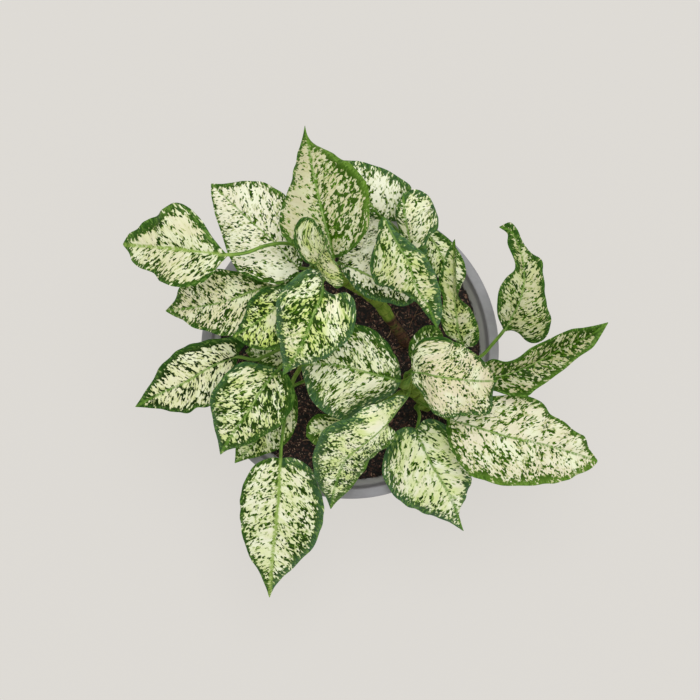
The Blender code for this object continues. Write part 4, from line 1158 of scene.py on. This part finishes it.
def strand_finish():
    """Sheath, petiole and midrib: fresh green with pale streaks, paler towards the blade's tip."""
    f = Finish("leaf_strand")
    along, around, seed = f.read("vein")
    done, ribbed, _ = f.read("edge")
    streaks = f.clouds(f.join(along * 0.12, around * 1.3, seed), 1.0, 3.0, 0.6)
    patches = f.clouds(f.join(along * 0.22, around * 0.3, seed))
    stalk = f.mix(streaks.rise(0.35, 0.7), (78, 116, 40), (136, 168, 76))
    sheath = f.mix(patches.rise(0.35, 0.65), (126, 154, 56), (164, 182, 92))
    rib_end = f.mix(patches.rise(0.4, 0.6), (192, 204, 128), (112, 148, 58))
    rib = f.paint(
        (90, 128, 62),
        (streaks.rise(0.3, 0.7), (148, 174, 96)),
        (done.rise(1.15, 1.65), rib_end),
        (ribbed.rise(*PALE_RIB) * 0.8, (156, 182, 92)),
    )
    colour = f.paint(stalk, (done.rise(0.42, 0.05), sheath), (done.rise(0.95, 1.05), rib))
    f.set(colour, streaks * 0.2 + 0.34, Specular_IOR_Level=GLOSS)
    f.bump(streaks, 0.0002, 0.6)
    return f.material


def cane_finish():
    """Canes: olive green with fine pale streaks, brown where leaves have fallen and at the foot."""
    f = Finish("cane")
    along, around, seed = f.read("vein")
    ring, height, _ = f.read("edge")
    streaks = f.clouds(f.join(along * 0.1, around * 0.9, seed), 1.0, 4.0, 0.6)
    patches = f.clouds(f.join(along * 0.2, around * 0.25, seed), 1.0, 3.0)
    line = (along * (2 * math.pi / RING_SPACING) + patches * 2.4).math("SINE").rise(-0.6, -0.95)
    green = f.mix(streaks.rise(0.35, 0.7), (98, 130, 38), (152, 172, 74))
    brown = f.paint(
        (50, 33, 27),
        (streaks.rise(0.3, 0.7), (116, 82, 62)),
        (patches.rise(0.54, 0.66), (92, 90, 48)),
        (line * streaks.rise(0.35, 0.6) * 0.8, (26, 18, 16)),
    )
    share = height.rise(1.5, -1.5).at_least(ring.rise(0.55, 0.9) * 0.7)
    share = share.at_least(patches.rise(0.62, 0.7) * 0.8)
    f.set(f.mix(share, green, brown), streaks * 0.25 + 0.42, Specular_IOR_Level=GLOSS)
    f.bump(streaks, 0.0003, 0.7)
    return f.material


def pot_finish():
    """Smooth matt grey, a shade uneven, painted shade and light inside the wall, a trace of soil low inside.
    """
    f = Finish("pot_grey")
    place = f.place()
    x, y, height = f.parts(place)
    mottle = f.clouds(place, 60.0, 4.0, 0.6)
    radius = f.add("VectorMath", {0: f.join(x, y, 0.0)}, "Value", operation="LENGTH")
    inside = (radius - height * TAPER).rise(inner_radius(0) + 0.0012, inner_radius(0) + 0.0002)
    # Painted shade and light: the inner wall darker just under the lip, lighter lower down.
    inner_wall_light_and_shade = f.mix(height.rise(POT_HEIGHT - 0.016, POT_HEIGHT - 0.006), (230, 228, 232), (156, 152, 160))
    low = height.rise(SOIL_TOP + 0.006, SOIL_TOP - 0.001)
    dust = low * inside * f.clouds(place, 240.0, 4.0).rise(0.42, 0.62)
    grey = f.mix(mottle.rise(0.3, 0.7), *POT_GREYS)
    f.set(f.paint(grey, (inside, inner_wall_light_and_shade), (dust, (58, 46, 42))), mottle * 0.12 + 0.42)
    f.bump(f.clouds(place, 1500.0), 0.00006, 0.5)
    return f.material


def soil_finish():
    """Moist peat: nearly black, with reddish-brown grains and a few tan ones."""
    f = Finish("peat")
    place = f.place()
    shift = f.add("TexNoise", {"Vector": place, "Scale": 700.0, "Detail": 1.0}, "Color")
    shift = f.add("VectorMath", {0: shift, "Scale": 0.0016}, operation="SCALE")
    _, tone = f.cells(f.add("VectorMath", {0: place, 1: shift}, operation="ADD"), 680.0)
    _, speck = f.cells(place, 1250.0)
    broad = f.clouds(place, 130.0, 4.0, 0.6)
    colour = f.paint(
        (9, 5, 4),
        (broad.rise(0.3, 0.7), (30, 18, 15)),
        (tone.rise(0.68, 0.80), (76, 46, 38)),
        (tone.rise(0.96, 0.97), (150, 116, 98)),
        (speck.rise(0.90, 0.93) * broad.rise(0.42, 0.6), (172, 138, 118)),
    )
    f.set(colour, broad * 0.3 + 0.6)
    f.bump(f.clouds(place, 900.0, 4.0, 0.7), 0.0006, 0.9)
    return f.material


def litter_finish():
    """Bark crumbs from near black to reddish brown, a few tan; dry roots pale brown."""
    f = Finish("bark_and_roots")
    tone, _, _ = f.read("edge")
    streaks = f.clouds(f.place(), 700.0, 3.0, 0.6)
    colour = f.paint(
        (24, 14, 12),
        (tone.rise(0.2, 0.8), (84, 55, 48)),
        (tone.rise(0.90, 0.93), (150, 120, 106)),
        (tone.rise(1.05, 1.15), f.mix(tone.rise(1.2, 2.0), (122, 86, 62), (176, 146, 112))),
        (streaks.rise(0.4, 0.7) * 0.4, (40, 27, 23)),
    )
    f.set(colour, 0.85)
    f.bump(streaks, 0.0004, 0.7)
    return f.material


def floor_finish():
    f = Finish("pale_floor")
    colour = f.mix(f.clouds(f.place(), 0.8, 1.0), *FLOOR_TONES)
    f.set(colour, 0.9, Specular_IOR_Level=0.0, Emission_Color=linear(FLOOR_GLOW), Emission_Strength=1.0)
    return f.material


def build_stage():
    """A plain pale floor, soft light from beyond the top of the picture, and the camera straight above."""
    mesh = bpy.data.meshes.new("floor")
    corners = [(x * FLOOR_HALF, y * FLOOR_HALF, 0) for x, y in ((-1, -1), (1, -1), (1, 1), (-1, 1))]
    mesh.from_pydata(corners, [], [(0, 1, 2, 3)])
    mesh.materials.append(floor_finish())
    floor = linked("floor", mesh)

    lamp = bpy.data.lights.new("key", "AREA")
    lamp.shape = "DISK"
    lamp.size = LAMP_SIZE
    lamp.energy = LAMP_POWER
    holder = linked("key", lamp)
    holder.location = LAMP_PLACE
    ray = Vector((0, 0, LAMP_AIM)) - Vector(LAMP_PLACE)
    holder.rotation_euler = ray.to_track_quat("-Z", "Y").to_euler()

    world = bpy.data.worlds.new("soft_room")
    world.use_nodes = True
    sky = world.node_tree.nodes["Background"]
    sky.inputs["Color"].default_value = ROOM_COLOUR
    sky.inputs["Strength"].default_value = ROOM_LIGHT
    bpy.context.scene.world = world
    bpy.context.scene.view_settings.view_transform = "Standard"

    lens = bpy.data.cameras.new("view_from_above")
    lens.sensor_width = SENSOR
    lens.lens = SENSOR * PIXELS_PER_SLOPE / VIEW_PIXELS
    camera = linked("view_from_above", lens)
    camera.location = (0, 0, VIEW_HEIGHT)
    bpy.context.scene.camera = camera


LEAF_UPPER = blade_finish("leaf_upper", False)
LEAF_LOWER = blade_finish("leaf_lower", True)
LEAF_STRAND = strand_finish()
CANE = cane_finish()
POT = pot_finish()
SOIL = soil_finish()
LITTER = litter_finish()

build_pot()
build_soil()
build_litter()
for number, stem_name in enumerate(STEMS):
    build_stem(stem_name, number + 1)
for number, (leaf_name, shape) in enumerate(LEAVES.items()):
    build_leaf(leaf_name, shape, number + 1)
build_stage()
